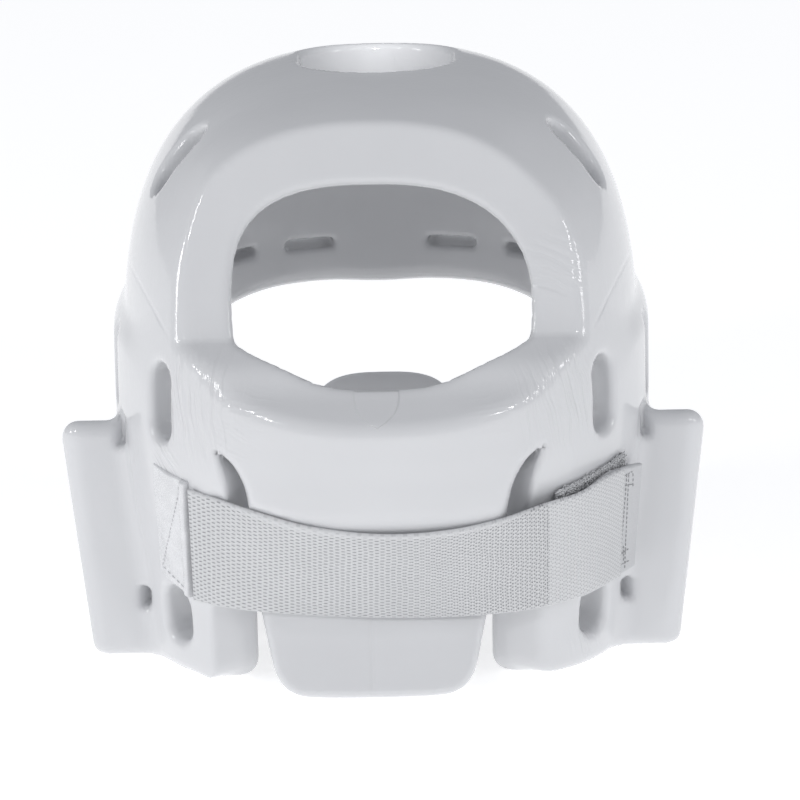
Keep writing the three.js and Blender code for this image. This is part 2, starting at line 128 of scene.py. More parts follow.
def outline_distance(p: Array, q: Array, outline: Array) -> Array:
    """Signed distance in a plane to a closed outline, negative inside it.

    The size is the least distance to any edge; the sign flips at each edge that a ray towards +p crosses.

    Args:
        p: first coordinate of the points.
        q: second coordinate of the points.
        outline: outline points, one row each.

    Returns:
        Signed distances, one for each point.
    """
    nearest = np.full(p.shape, np.inf)
    inside = np.zeros(p.shape, bool)
    for (ap, aq), (bp, bq) in zip(outline, np.roll(outline, -1, 0)):
        ep, eq = bp - ap, bq - aq
        along = np.clip(((p - ap) * ep + (q - aq) * eq) / max(ep * ep + eq * eq, 1e-9), 0.0, 1.0)
        nearest = np.minimum(nearest, (p - ap - along * ep) ** 2 + (q - aq - along * eq) ** 2)
        if eq != 0.0:
            inside ^= ((aq > q) != (bq > q)) & (p < ap + (q - aq) * ep / eq)
    return np.where(inside, -1.0, 1.0) * np.sqrt(nearest)


def stadium(along: Array, across: Array, length: float, width: float) -> Array:
    """Signed distance in a plane to a slot with round ends."""
    return np.hypot(np.maximum(np.abs(along) - (length - width) / 2, 0.0), across) - width / 2


@dataclass(frozen=True)
class RowCurve:
    """One measure that changes with height, on a smooth curve through rows."""

    heights: tuple[float, ...]
    values: tuple[float, ...]

    def at(self, z: Array) -> Array:
        """Cubic Hermite curve with slopes from the neighbour rows.

        It runs on straight below the first row and level above the last.

        Args:
            z: heights in mm.

        Returns:
            The measure at each height.
        """
        rows, values = np.asarray(self.heights, float), np.asarray(self.values, float)
        before, after = np.r_[0, np.arange(len(rows) - 1)], np.r_[np.arange(1, len(rows)), len(rows) - 1]
        slopes = (values[after] - values[before]) / (rows[after] - rows[before])
        held = np.clip(z, rows[0], rows[-1])
        i = np.clip(np.searchsorted(rows, held) - 1, 0, len(rows) - 2)
        span = (rows[1:] - rows[:-1])[i]
        t = (held - rows[i]) / span
        low = (1 + 2 * t) * (1 - t) ** 2 * values[i] + t * (1 - t) ** 2 * span * slopes[i]
        high = t * t * (3 - 2 * t) * values[i + 1] + t * t * (t - 1) * span * slopes[i + 1]
        return low + high + slopes[0] * np.minimum(z - rows[0], 0.0)


def row_curves(rows: Rows) -> tuple[RowCurve, ...]:
    """One curve for each column after the first, which is the height."""
    heights, *columns = zip(*rows)
    return tuple(RowCurve(heights, column) for column in columns)


@dataclass(frozen=True)
class FoamFace:
    """One face of the foam: a squared section in plan that closes over the widest height as an arch."""

    inset: float
    plan_power: float
    crown_power: float
    rise: float


@dataclass(frozen=True)
class FoamForm:
    """The moulded wall that every other piece lies on; all sizes in mm."""

    widest_z: float = 105.0
    crown_side: float = 94.0
    step_height: float = 4.0
    step_low_z: float = 119.0
    step_high_z: float = 131.0
    step_spread: tuple[float, float] = (13.0, 19.0)
    tangent_turn: float = 0.5
    tangent_lift: float = 0.5
    outer: FoamFace = FoamFace(0.0, 2.3, 2.75, 107.0)
    inner: FoamFace = FoamFace(18.6, 2.5, 3.3, 85.2)
    wall: tuple[RowCurve, ...] = row_curves((
        (0.0, 92.0, 89.0, 108.0),
        (30.0, 95.0, 90.5, 112.0),
        (45.0, 96.0, 96.0, 114.0),
        (60.0, 97.0, 104.0, 116.0),
        (75.0, 97.6, 112.0, 117.0),
        (90.0, 98.0, 118.0, 118.6),
        (105.0, 98.0, 119.0, 119.0),
    ))

    def section(self, z: Array, soften: Array | float = 0.0) -> tuple[Array, Array, Array]:
        """Half sizes of the outer section at each height, before the arch draws it in.

        Args:
            z: heights in mm.
            soften: share by which the step in the side is spread out over a greater height.

        Returns:
            Reach to the side, to the back and to the front.
        """
        side, back, front = (curve.at(z) for curve in self.wall)
        low = self.step_low_z - self.step_spread[0] * soften
        high = self.step_high_z + self.step_spread[1] * soften
        step = self.step_height * (1.0 - smoothstep(z, low, high))
        return np.where(z < self.widest_z, side, self.crown_side + step), back, front

    def point(self, angle: Array, z: Array) -> Array:
        """Point of the outer face: a superellipse in plan, scaled by an arch above the widest height.

        Args:
            angle: plan angle from straight back, turning towards +X, in radians.
            z: heights in mm.

        Returns:
            Points in mm, on the last axis.
        """
        side, back, front = self.section(z)
        rise = np.clip((z - self.widest_z) / self.outer.rise, 0.0, 1.0)
        scale = (1.0 - rise**self.outer.crown_power) ** (1.0 / self.outer.crown_power)
        across, along = np.sin(angle), -np.cos(angle)
        power = 2.0 / self.outer.plan_power
        reach = np.where(along < 0.0, back, front)
        x = side * scale * np.sign(across) * np.abs(across) ** power
        y = reach * scale * np.sign(along) * np.abs(along) ** power
        return np.stack(np.broadcast_arrays(x, y, z), -1)

    def on_wall(self, angle: Array, z: Array, offset: Array | float = 0.0) -> tuple[Array, Array]:
        """Point of the outer face moved out along its normal, which is the cross product of the two tangents.

        Args:
            angle: plan angle from straight back, in radians.
            z: heights in mm.
            offset: distance from the face in mm.

        Returns:
            Points and unit normals.
        """
        turn = np.radians(self.tangent_turn)
        around = self.point(angle + turn, z) - self.point(angle - turn, z)
        up = self.point(angle, z + self.tangent_lift) - self.point(angle, z - self.tangent_lift)
        normal = unit(np.cross(around, up))
        return self.point(angle, z) + np.asarray(offset)[..., None] * normal, normal

    def angle_at_x(self, x: Array, z: Array) -> Array:
        """Plan angle on the back half at which the face has this x: the superellipse solved for its angle."""
        share = np.clip(np.abs(x) / self.section(z)[0], 0.0, 1.0)
        return np.sign(x) * np.arcsin(share ** (self.outer.plan_power / 2.0))


FORM = FoamForm()


def write_mesh(
    name: str,
    points: Array,
    faces: Array,
    uv: Array | None = None,
    weld: bool = False,
) -> bpy.types.Object:
    """Mesh object from whole arrays, at the origin.

    Args:
        name: name of the piece.
        points: points in mm, one row each.
        faces: point numbers, four or three to a face.
        uv: texture place of each point in metres, or None.
        weld: merge the points that coincide, which closes poles and seams.

    Returns:
        The new object, smooth shaded and linked to the scene.
    """
    mesh = bpy.data.meshes.new(name)
    sides = faces.shape[1]
    mesh.vertices.add(len(points))
    mesh.vertices.foreach_set("co", (points * MM).astype(np.float32).ravel())
    mesh.loops.add(faces.size)
    mesh.loops.foreach_set("vertex_index", faces.astype(np.int32).ravel())
    mesh.polygons.add(len(faces))
    mesh.polygons.foreach_set("loop_start", np.arange(0, faces.size, sides, dtype=np.int32))
    mesh.polygons.foreach_set("use_smooth", np.ones(len(faces), bool))
    if uv is not None:
        layer = mesh.uv_layers.new(name="lay")
        layer.data.foreach_set("uv", uv[faces.ravel()].astype(np.float32).ravel())
    mesh.update(calc_edges=True)
    if weld:
        work = bmesh.new()
        work.from_mesh(mesh)
        bmesh.ops.remove_doubles(work, verts=work.verts, dist=WELD)
        bmesh.ops.dissolve_degenerate(work, edges=work.edges, dist=DEGENERATE)
        work.to_mesh(mesh)
        work.free()
    mesh.validate()
    piece = bpy.data.objects.new(name, mesh)
    bpy.context.scene.collection.objects.link(piece)
    return piece


def grid_faces(rows: int, columns: int, wrap: bool = False) -> Array:
    """Quads of a grid of points in row order.

    Args:
        rows: rows of points.
        columns: points in a row.
        wrap: join the last column to the first.

    Returns:
        Four point numbers for each quad.
    """
    last = columns if wrap else columns - 1
    i, j = np.meshgrid(np.arange(rows - 1), np.arange(last), indexing="ij")
    k = (j + 1) % columns
    corners = [i * columns + j, i * columns + k, (i + 1) * columns + k, (i + 1) * columns + j]
    return np.stack(corners, -1).reshape(-1, 4)


@dataclass(frozen=True)
class SurfaceNet:
    """Quad mesh of the zero surface of a signed field that is mirrored in the plane x = 0."""

    high: tuple[float, float, float]
    low: tuple[float, float, float]
    step: float = 1.7
    block: int = 4
    band: float = 2.2
    rounds: int = 3
    evening: float = 0.6
    probe: float = 0.2
    least_slope: float = 0.25

    def sample(self, signed: Field) -> Array:
        """Field values on half of the grid, exact near the surface and in blocks elsewhere.

        Args:
            signed: field of x, y and z in mm, negative inside.

        Returns:
            Values at the cell corners for x above 0.
        """
        wide = self.block * self.step
        low, high = np.asarray(self.low), np.asarray(self.high)
        count = np.ceil((high - low) / wide).astype(int)
        middles = [low[i] + wide * (np.arange(count[i]) + 0.5) for i in range(3)]
        values = signed(*np.meshgrid(*middles, indexing="ij"))
        near = np.abs(values) < self.band * wide
        for axis in range(3):
            values = np.repeat(values, self.block, axis)
            near = np.repeat(near, self.block, axis)
        places = [low[i] + self.step * (np.arange(values.shape[i]) + 0.5) for i in range(3)]
        index = np.nonzero(near)
        values[index] = signed(*(places[i][index[i]] for i in range(3)))
        return values

    def cross(self, values: Array) -> tuple[Array, Array]:
        """Surface net of the field.

        Each cell that the surface crosses gets the mean of the crossings on its edges as its point, and each
        crossed edge gets a quad of the four cells around it.

        Args:
            values: field on the whole grid.

        Returns:
            Points in grid steps, and quads that face outwards.
        """
        inside = values < 0.0
        cells = tuple(n - 1 for n in values.shape)
        total, count = np.zeros((int(np.prod(cells)), 3)), np.zeros(int(np.prod(cells)))
        quads = []
        for axis in range(3):
            start, end = [slice(None)] * 3, [slice(None)] * 3
            start[axis], end[axis] = slice(0, -1), slice(1, None)
            a, b = values[tuple(start)], values[tuple(end)]
            crossed = inside[tuple(start)] != inside[tuple(end)]
            base = np.argwhere(crossed)
            place = base.astype(float)
            place[:, axis] += a[crossed] / (a[crossed] - b[crossed])
            around = []
            for du, dv in ((-1, -1), (0, -1), (0, 0), (-1, 0)):
                cell = base.copy()
                cell[:, (axis + 1) % 3] += du
                cell[:, (axis + 2) % 3] += dv
                ids = np.ravel_multi_index(cell.T, cells)
                around.append(ids)
                count += np.bincount(ids, minlength=len(count))
                for c in range(3):
                    total[:, c] += np.bincount(ids, place[:, c], len(count))
            ring = np.stack(around, 1)
            outward = inside[tuple(start)][crossed]
            quads.append(np.where(outward[:, None], ring, ring[:, ::-1]))
        used = count > 0
        number = np.cumsum(used) - 1
        return total[used] / count[used, None], number[np.concatenate(quads)]

    def project(self, signed: Field, points: Array) -> Array:
        """Newton step onto the surface: back along the slope by value over slope squared, within a grid step.

        Args:
            signed: field of x, y and z in mm, negative inside.
            points: points near the surface.

        Returns:
            The moved points.
        """
        x, y, z = points.T
        e = self.probe * self.step
        slope = np.stack([
            signed(x + e, y, z) - signed(x - e, y, z),
            signed(x, y + e, z) - signed(x, y - e, z),
            signed(x, y, z + e) - signed(x, y, z - e),
        ], 1) / (2 * e)
        size = np.maximum((slope**2).sum(1), self.least_slope)
        return points + np.clip(-(signed(x, y, z) / size)[:, None] * slope, -self.step, self.step)

    def build(self, signed: Field) -> tuple[Array, Array]:
        """Sample one half, mirror it, take the net, even its points out and set them back on the surface.

        Args:
            signed: field of x, y and z in mm, negative inside.

        Returns:
            Points in mm and quads.
        """
        half = self.sample(signed)
        points, quads = self.cross(np.concatenate([half[::-1], half]))
        corner = np.array([-half.shape[0] * self.step, self.low[1], self.low[2]]) + self.step / 2
        points = corner + self.step * points
        a, b = quads.ravel(), np.roll(quads, -1, 1).ravel()
        weight = np.bincount(np.r_[a, b], minlength=len(points))[:, None]
        for _ in range(self.rounds):
            mean = np.stack([
                np.bincount(np.r_[a, b], np.r_[points[b, c], points[a, c]], len(points)) for c in range(3)
            ], 1) / weight
            points = self.project(signed, blend(points, mean, self.evening))
        return self.project(signed, points), quads


@dataclass(frozen=True)
class Vent:
    """Slot with round ends through the wall: its middle's height and plan angle, size and lip radius."""

    z: float
    angle: float
    length: float
    width: float
    lip: float
    upright: bool = True


@dataclass(frozen=True)
class EarGuard:
    """Boxed panel over the ear, as planes that meet in rounded edges; sizes in mm."""

    inner_x: float = 74.0
    out_bottom: float = 107.5
    out_top: float = 117.5
    top_z: float = 92.5
    front_top_z: float = 52.0
    back_y: float = -43.0
    front_y: float = 58.0
    bend_y: float = 16.0
    front_x: float = 88.0
    edge: float = 7.0

    def distance(self, x: Array, y: Array, z: Array) -> Array:
        """Rounded intersection of the back, outer, top, slanted front, front and inner planes.

        Args:
            x: distance from the middle plane.
            y: place along the head.
            z: heights.

        Returns:
            Distances, negative in the panel.
        """
        lean = (self.out_top - self.out_bottom) / self.top_z
        fall = (self.top_z - self.front_top_z) / (self.front_y - self.back_y)
        outer = (x - self.out_bottom - lean * z) / np.hypot(1.0, lean)
        top = (z - self.top_z + fall * (y - self.back_y)) / np.hypot(1.0, fall)
        slant = np.array([self.front_y - self.bend_y, self.out_top - self.front_x])
        slant = slant / np.hypot(*slant)
        front = (x - self.out_top) * slant[0] + (y - self.bend_y) * slant[1]
        panel = round_max(self.back_y - y, outer, self.edge)
        panel = round_max(panel, round_max(front, y - self.front_y, self.edge), self.edge)
        return np.maximum(round_max(panel, top, self.edge), self.inner_x - x)


@dataclass(frozen=True)
class Scoop:
    """Scoop in an ear guard's back face: its upright side, middle, half height, ramp and depth in mm."""

    from_x: float
    mid_z: float
    half_tall: float
    width: float
    depth: float


@dataclass(frozen=True)
class FoamShell:
    """The one-piece foam shell with its window, nape flap, slits, vents and ear guards; sizes in mm."""

    flap: tuple[RowCurve, ...] = row_curves((
        (0.0, 33.6, 96.0),
        (5.0, 35.0, 94.0),
        (14.5, 37.4, 90.0),
        (22.0, 39.1, 86.8),
        (32.0, 41.3, 84.0),
        (48.0, 43.0, 96.6),
        (61.0, 44.3, 107.0),
        (69.0, 44.9, 113.4),
        (77.0, 45.4, 117.4),
        (85.0, 47.0, 118.3),
        (90.0, 49.4, 118.5),
        (94.0, 52.4, 118.4),
        (98.0, 57.0, 118.0),
        (108.0, 58.0, 117.6),
    ))
    slit: tuple[RowCurve, ...] = row_curves((
        (-10.0, 42.3, -68.0, 2.4),
        (28.0, 42.3, -68.0, 2.4),
        (45.0, 42.0, -75.0, 1.65),
        (61.0, 42.4, -82.0, 1.0),
        (69.0, 42.8, -84.0, 0.75),
        (77.0, 43.4, -84.0, 0.62),
        (85.0, 45.3, -84.0, 0.47),
        (90.0, 48.2, -84.0, 0.36),
        (94.0, 51.6, -84.0, 0.24),
        (98.0, 56.0, -84.0, 0.06),
    ))
    lean: tuple[RowCurve, ...] = row_curves((
        (0.0, -4.2),
        (32.0, -4.0),
        (60.0, -2.6),
        (80.0, -1.7),
        (110.0, -0.6),
        (135.0, 0.6),
        (155.0, 0.2),
        (170.0, -1.6),
        (185.0, -3.4),
        (212.0, -3.6),
    ))
    tongue_corner: float = 11.0
    wall_corner: float = 9.0
    slit_edge: float = 4.0
    end_edge: float = 1.6
    inner_edge: float = 2.8
    step_fade: tuple[float, float] = (-85.0, -45.0)
    flap_zone: tuple[float, float, float] = (64.0, -50.0, 114.0)
    flap_overlap: float = 12.0
    press_fade: tuple[float, float] = (58.0, 64.0)
    press_gap: float = 0.4
    flap_join_z: float = 98.0
    flap_blend_z: float = 84.0
    flap_thick: float = 13.0
    flap_side: float = 98.0
    window: tuple[tuple[float, float], ...] = (
        (-52.0, 235.0),
        (-85.5, 133.0),
        (-98.0, 127.0),
        (-103.0, 119.0),
        (-121.0, 108.5),
        (-170.0, 100.0),
        (-170.0, 235.0),
    )
    window_rounding: tuple[float, ...] = (5.0, 0.8, 6.0, 6.0, 5.0, 5.0, 5.0)
    outer_lips: tuple[float, float] = (3.2, 1.3)
    lip_heights: tuple[float, float] = (148.0, 172.0)
    inner_lip: float = 5.0
    lip_depth: tuple[float, float] = (4.0, 11.0)
    face: tuple[tuple[float, float], ...] = (
        (0.0, 100.3),
        (20.0, 101.8),
        (46.0, 101.0),
        (65.0, 96.0),
        (69.0, 78.0),
        (67.0, 50.0),
        (71.0, 22.0),
        (80.0, -20.0),
        (-80.0, -20.0),
        (-71.0, 22.0),
        (-67.0, 50.0),
        (-69.0, 78.0),
        (-65.0, 96.0),
        (-46.0, 101.0),
        (-20.0, 101.8),
    )
    face_from_y: float = 30.0
    ear: EarGuard = EarGuard()
    recess: tuple[float, float, float, float, float] = (-6.0, 43.0, 21.0, 25.0, 98.0)
    vents: tuple[Vent, ...] = (
        Vent(186.0, 75.0, 29.0, 16.0, 2.5),
        Vent(108.0, 80.0, 28.0, 12.0, 3.0),
        Vent(109.0, 51.5, 28.0, 13.0, 3.0),
        Vent(23.0, 51.0, 21.0, 13.5, 3.0),
        Vent(118.5, 163.6, 20.0, 4.2, 1.5, upright=False),
        Vent(118.5, 139.5, 20.0, 4.2, 1.5, upright=False),
    )
    vent_depth: float = 30.0
    face_rounding: float = 10.0
    face_edge: float = 7.0
    base_edge: float = 5.0
    top_edge: float = 2.5
    ear_fillet: float = 5.0
    scoop_rounding: float = 2.0
    scoop_edge: float = 1.5
    recess_edge: float = 6.0
    lean_back: tuple[float, float] = (32.0, 62.0)
    lean_aside: tuple[float, float] = (54.0, 72.0)
    press_edge: float = 0.06
    probe: float = 0.3
    least_slope: float = 2e-3
    net_low: tuple[float, float, float] = (0.0, -126.0, -5.0)
    net_high: tuple[float, float, float] = (122.0, 126.0, 219.0)
    top_slot: tuple[float, float, float, float] = (22.5, 69.0, 56.0, 160.0)
    scoops: tuple[Scoop, ...] = (
        Scoop(93.0, 88.0, 6.5, 4.5, 7.0),
        Scoop(85.6, 24.2, 4.3, 5.0, 7.5),
    )

    def level(self, face: FoamFace, x: Array, y: Array, z: Array, on_flap: bool) -> Array:
        """Superelliptic level of one face, below 0 inside it.

        In plan |x/side|^n + |y/reach|^n is taken to the power 1/n, then joined with the height in the crown
        in the same way with the crown's power; the nape flap has its own reach and thickness below its join.

        Args:
            face: the outer or the inner face.
            x: distance from the middle plane.
            y: place along the head.
            z: heights.
            on_flap: whether the nape flap or the wall is meant.

        Returns:
            The level at each point.
        """
        side, back, front = FORM.section(z, 1.0 - smoothstep(y, *self.step_fade))
        inset = face.inset
        if on_flap:
            joined = smoothstep(z, self.flap_blend_z, self.flap_join_z)
            back = blend(self.flap[1].at(z), back, joined)
            side = blend(self.flap_side, side, joined)
            inset = inset * blend(self.flap_thick / FORM.inner.inset, 1.0, joined)
        reach = np.where(y < 0.0, back, front) - inset
        n, m = face.plan_power, face.crown_power
        plan = (np.abs(x / (side - inset)) ** n + np.abs(y / reach) ** n) ** (1.0 / n)
        rise = np.maximum(z - FORM.widest_z, 0.0) / face.rise
        return (plan**m + rise**m) ** (1.0 / m) - 1.0

    def face_distance(self, face: FoamFace, x: Array, y: Array, z: Array, on_flap: bool = False) -> Array:
        """Distance to one face: its level divided by the length of the level's slope.

        Args:
            face: the outer or the inner face.
            x: distance from the middle plane.
            y: place along the head.
            z: heights.
            on_flap: whether the nape flap or the wall is meant.

        Returns:
            Distances, negative inside.
        """
        e = self.probe
        here = self.level(face, x, y, z, on_flap)
        slope = np.sqrt(
            (self.level(face, x + e, y, z, on_flap) - here) ** 2
            + (self.level(face, x, y + e, z, on_flap) - here) ** 2
            + (self.level(face, x, y, z + e, on_flap) - here) ** 2
        ) / e
        return here / np.maximum(slope, self.least_slope)

    def flap_distance(self, x: Array, y: Array, z: Array) -> Array:
        """Nape flap: its two faces, ended by its sides and rounded bottom corners, and run up into the wall.

        Args:
            x: distance from the middle plane.
            y: place along the head.
            z: heights.

        Returns:
            Distances, negative in the foam.
        """
        sides = round_max(x - self.flap[0].at(z), -z, self.tongue_corner)
        sides = np.maximum(sides, z - self.flap_join_z - self.flap_overlap)
        flap = round_max(self.face_distance(FORM.outer, x, y, z, True), sides, self.slit_edge)
        return round_max(flap, -self.face_distance(FORM.inner, x, y, z, True), self.inner_edge)

    def wall_distance(self, x: Array, y: Array, z: Array) -> Array:
        """Wall and crown with the ear guards, cut open for the flap by a slit whose end faces slant.

        Args:
            x: distance from the middle plane.
            y: place along the head.
            z: heights.

        Returns:
            Distances, negative in the foam.
        """
        wall = round_min(self.face_distance(FORM.outer, x, y, z), self.ear.distance(x, y, z), self.ear_fillet)
        half_gap, inner_y, slant = (curve.at(z) for curve in self.slit)
        end = (half_gap + slant * np.maximum(inner_y - y, 0.0) - x) / np.hypot(1.0, slant * (y < inner_y))
        end = np.minimum(round_max(end, -z, self.wall_corner), self.flap_join_z - z)
        wall = np.where(y < 0.0, round_max(wall, end, self.end_edge), wall)
        return round_max(wall, -self.face_distance(FORM.inner, x, y, z), self.inner_edge)

    def vent_distance(self, vent: Vent, x: Array, y: Array, z: Array) -> Array:
        """Slot through the wall along its normal: a stadium in the plane of the wall, ended at a set depth.

        Args:
            vent: the slot.
            x: distance from the middle plane.
            y: place along the head.
            z: heights.

        Returns:
            Distances, negative in the slot.
        """
        middle, normal = FORM.on_wall(np.radians(vent.angle), np.asarray(vent.z))
        around = unit(np.cross((0.0, 0.0, 1.0), normal))
        up = np.cross(normal, around)
        dx, dy, dz = x - middle[0], y - middle[1], z - middle[2]
        a = dx * around[0] + dy * around[1] + dz * around[2]
        b = dx * up[0] + dy * up[1] + dz * up[2]
        depth = np.abs(dx * normal[0] + dy * normal[1] + dz * normal[2]) - self.vent_depth
        along, across = (b, a) if vent.upright else (a, b)
        return np.maximum(stadium(along, across, vent.length, vent.width), depth)

    def scoop_distance(self, scoop: Scoop, x: Array, y: Array, z: Array) -> Array:
        """Scoop in the ear guard's back face, with a ramp from its upright side out to the face.

        Args:
            scoop: the scoop.
            x: distance from the middle plane.
            y: place along the head.
            z: heights.

        Returns:
            Distances, negative in the scoop.
        """
        share = (x - scoop.from_x) / scoop.width
        ramp = (y - self.ear.back_y - scoop.depth * (1.0 - share)) / np.hypot(1.0, scoop.depth / scoop.width)
        ends = np.abs(z - scoop.mid_z) - scoop.half_tall
        return round_max(np.maximum(scoop.from_x - x, ramp), ends, self.scoop_rounding)

    def distance(self, x: Array, y: Array, z: Array) -> Array:
        """Signed distance of the whole shell: outer form and ear guards, less the openings, less the hollow.

        Args:
            x: place across, in mm.
            y: place along the head, in mm.
            z: heights in mm.

        Returns:
            Distances, negative in the foam.
        """
        x = np.abs(x)
        foam = self.wall_distance(x, y, z)
        near = (x < self.flap_zone[0]) & (y < self.flap_zone[1]) & (z < self.flap_zone[2])
        foam[near] = np.minimum(foam[near], self.flap_distance(x[near], y[near], z[near]))
        window = outline_distance(y, z, rounded_outline(self.window, self.window_rounding))
        deep = smoothstep(-self.face_distance(FORM.outer, x, y, z), *self.lip_depth)
        outer_lip = blend(*self.outer_lips, smoothstep(z, *self.lip_heights))
        foam = round_max(foam, -window, blend(outer_lip, self.inner_lip, deep))
        face = outline_distance(x, z, rounded_outline(self.face, self.face_rounding))
        face = np.maximum(face, self.face_from_y - y)
        foam = round_max(foam, -face, self.face_edge)
        foam = round_max(foam, -z, self.base_edge)
        slot_y, length, width, from_z = self.top_slot
        top = np.maximum(stadium(y - slot_y, x, length, width), from_z - z)
        foam = round_max(foam, -top, self.top_edge)
        for vent in self.vents:
            foam = round_max(foam, -self.vent_distance(vent, x, y, z), vent.lip)
        for scoop in self.scoops:
            foam = round_max(foam, -self.scoop_distance(scoop, x, y, z), self.scoop_edge)
        mid_y, mid_z, half_long, half_tall, to_x = self.recess
        hollow = (np.hypot((y - mid_y) / half_long, (z - mid_z) / half_tall) - 1.0) * half_long
        return round_max(foam, -np.maximum(hollow, x - to_x), self.recess_edge)

    def settle(self, points: Array, strap: "Ribbon") -> Array:
        """Soft foam as it lies: it leans to the left at the back, and gives way where the strap crosses it.

        The lean is a shift in x that changes with height and fades to the sides. Behind the strap, y is held
        in front of the strap's inner face, whose place is read from its two edges at the same x.

        Args:
            points: points of the symmetric shell in mm.
            strap: the rear strap.

        Returns:
            The moved points.
        """
        x, y, z = points.T
        share = smoothstep(-y, *self.lean_back) * (1.0 - smoothstep(np.abs(x), *self.lean_aside))
        x = x + self.lean[0].at(z) * share
        low_y, low_z = (np.interp(x, strap.low[:, 0], strap.low[:, k]) for k in (1, 2))
        top_y, top_z = (np.interp(x, strap.top[:, 0], strap.top[:, k]) for k in (1, 2))
        rise = (z - low_z) / (top_z - low_z)
        over = smoothstep(rise, 1.0, 1.0 + self.press_edge)
        inside = smoothstep(rise, -self.press_edge, 0.0) * (1.0 - over)
        covered = inside * (1.0 - smoothstep(np.abs(x), *self.press_fade))
        held = np.maximum(y, blend(low_y, top_y, np.clip(rise, 0.0, 1.0)) + self.press_gap)
        return np.stack([x, blend(y, held, covered * (y < self.flap_zone[1])), z], 1)

    def build(self, finish: "Finish", strap: "Ribbon") -> bpy.types.Object:
        """Surface net of the shell's field, dressed in the dipped vinyl.

        Args:
            finish: finish of the foam's skin.
            strap: the rear strap, which presses the foam in.

        Returns:
            The shell piece.
        """
        net = SurfaceNet(low=self.net_low, high=self.net_high)
        points, quads = net.build(self.distance)
        shell = write_mesh("dipped_shell", self.settle(points, strap), quads)
        dress(shell, finish, Slot.FOAM, "foam_shell")
        return shell


class Value:
    """A socket in a material's node tree; arithmetic on it adds Math nodes."""

    def __init__(self, kit: "NodeKit", socket: bpy.types.NodeSocket) -> None:
        """Keep the tree's kit and the socket."""
        self.kit = kit
        self.socket = socket

    def math(self, operation: str, *others: "Value | float") -> "Value":
        """Math node with this value first."""
        return self.kit.value("ShaderNodeMath", {"operation": operation}, dict(enumerate((self, *others))))

    def __add__(self, other: "Value | float") -> "Value":
        """Sum."""
        return self.math("ADD", other)

    def __radd__(self, other: float) -> "Value":
        """Sum, number first."""
        return self.math("ADD", other)

    def __sub__(self, other: "Value | float") -> "Value":
        """Difference."""
        return self.math("SUBTRACT", other)

    def __rsub__(self, other: float) -> "Value":
        """Difference, number first."""
        return self.kit.value("ShaderNodeMath", {"operation": "SUBTRACT"}, {0: other, 1: self})

    def __mul__(self, other: "Value | float") -> "Value":
        """Product."""
        return self.math("MULTIPLY", other)

    def __rmul__(self, other: float) -> "Value":
        """Product, number first."""
        return self.math("MULTIPLY", other)

    def __truediv__(self, other: "Value | float") -> "Value":
        """Quotient."""
        return self.math("DIVIDE", other)

    def wave(self) -> "Value":
        """Sine of this value in turns, from 0 to 1."""
        return (self * (2.0 * np.pi)).math("SINE") * 0.5 + 0.5

    def step(self, low: float, high: float) -> "Value":
        """Smooth step of this value from low to high; falls where low is above high."""
        settings = {"interpolation_type": "SMOOTHSTEP"}
        return self.kit.value("ShaderNodeMapRange", settings, {0: self, 1: low, 2: high, 3: 0.0, 4: 1.0})


Setting = Mapping[str, object]
Colour = tuple[float, float, float]
NOISE_ROUGHNESS = 0.55


class NodeKit:
    """One material's node tree and the one way nodes are added to it."""

    def __init__(self, name: str) -> None:
        """Start a material with a bare output."""
        self.material = bpy.data.materials.new(name)
        self.material.use_nodes = True
        self.tree = self.material.node_tree
        self.tree.nodes.clear()

    def node(self, kind: str, settings: Setting, sockets: Mapping[int | str, object]) -> bpy.types.Node:
        """Add a node.

        Args:
            kind: type of the node.
            settings: properties to set first.
            sockets: values or links, by the input's name or number.

        Returns:
            The node.
        """
        made = self.tree.nodes.new(kind)
        for key, setting in settings.items():
            setattr(made, key, setting)
        for key, value in sockets.items():
            if isinstance(value, Value):
                self.tree.links.new(value.socket, made.inputs[key])
            elif value is not None:
                made.inputs[key].default_value = value
        return made

    def value(
        self, kind: str, settings: Setting, sockets: Mapping[int | str, object], output: int | str = 0
    ) -> Value:
        """Add a node and give one of its outputs."""
        return Value(self, self.node(kind, settings, sockets).outputs[output])

    def place(self, output: str) -> Value:
        """Object or UV coordinates in metres."""
        return self.value("ShaderNodeTexCoord", {}, {}, output)

    def split(self, vector: Value) -> tuple[Value, Value, Value]:
        """The three parts of a vector."""
        made = self.node("ShaderNodeSeparateXYZ", {}, {0: vector})
        return tuple(Value(self, made.outputs[i]) for i in range(3))

    def join(self, x: Value | float, y: Value | float, z: Value | float) -> Value:
        """Vector of three values."""
        return self.value("ShaderNodeCombineXYZ", {}, {0: x, 1: y, 2: z})

    def vector(self, operation: str, first: Value, second: Sequence[float]) -> Value:
        """Single value of a Vector Math node, such as a dot product or a distance."""
        settings = {"operation": operation}
        return self.value("ShaderNodeVectorMath", settings, {0: first, 1: tuple(second)}, "Value")

    def noise(self, where: Value, scale: float, detail: float = 2.0) -> Value:
        """Noise from 0 to 1, with this many features in a metre and octaves of detail."""
        sockets = {"Vector": where, "Scale": scale, "Detail": detail, "Roughness": NOISE_ROUGHNESS}
        return self.value("ShaderNodeTexNoise", {}, sockets)

    def mix(self, share: Value, first: Colour, second: Colour) -> Value:
        """Mix of two colours by a share."""
        sockets = {0: share, 6: (*first, 1.0), 7: (*second, 1.0)}
        return self.value("ShaderNodeMix", {"data_type": "RGBA"}, sockets, 2)

    def bump(self, height: Value, distance: float) -> Value:
        """Bump normal from a height of 0 to 1 that stands for this distance in metres."""
        return self.value("ShaderNodeBump", {}, {"Height": height, "Distance": distance, "Strength": 1.0})

    def skin(self, sockets: Mapping[str, object]) -> bpy.types.Material:
        """Close the tree with a Principled shader that has these sockets."""
        shader = self.value("ShaderNodeBsdfPrincipled", {}, sockets)
        self.node("ShaderNodeOutputMaterial", {}, {"Surface": shader})
        return self.material


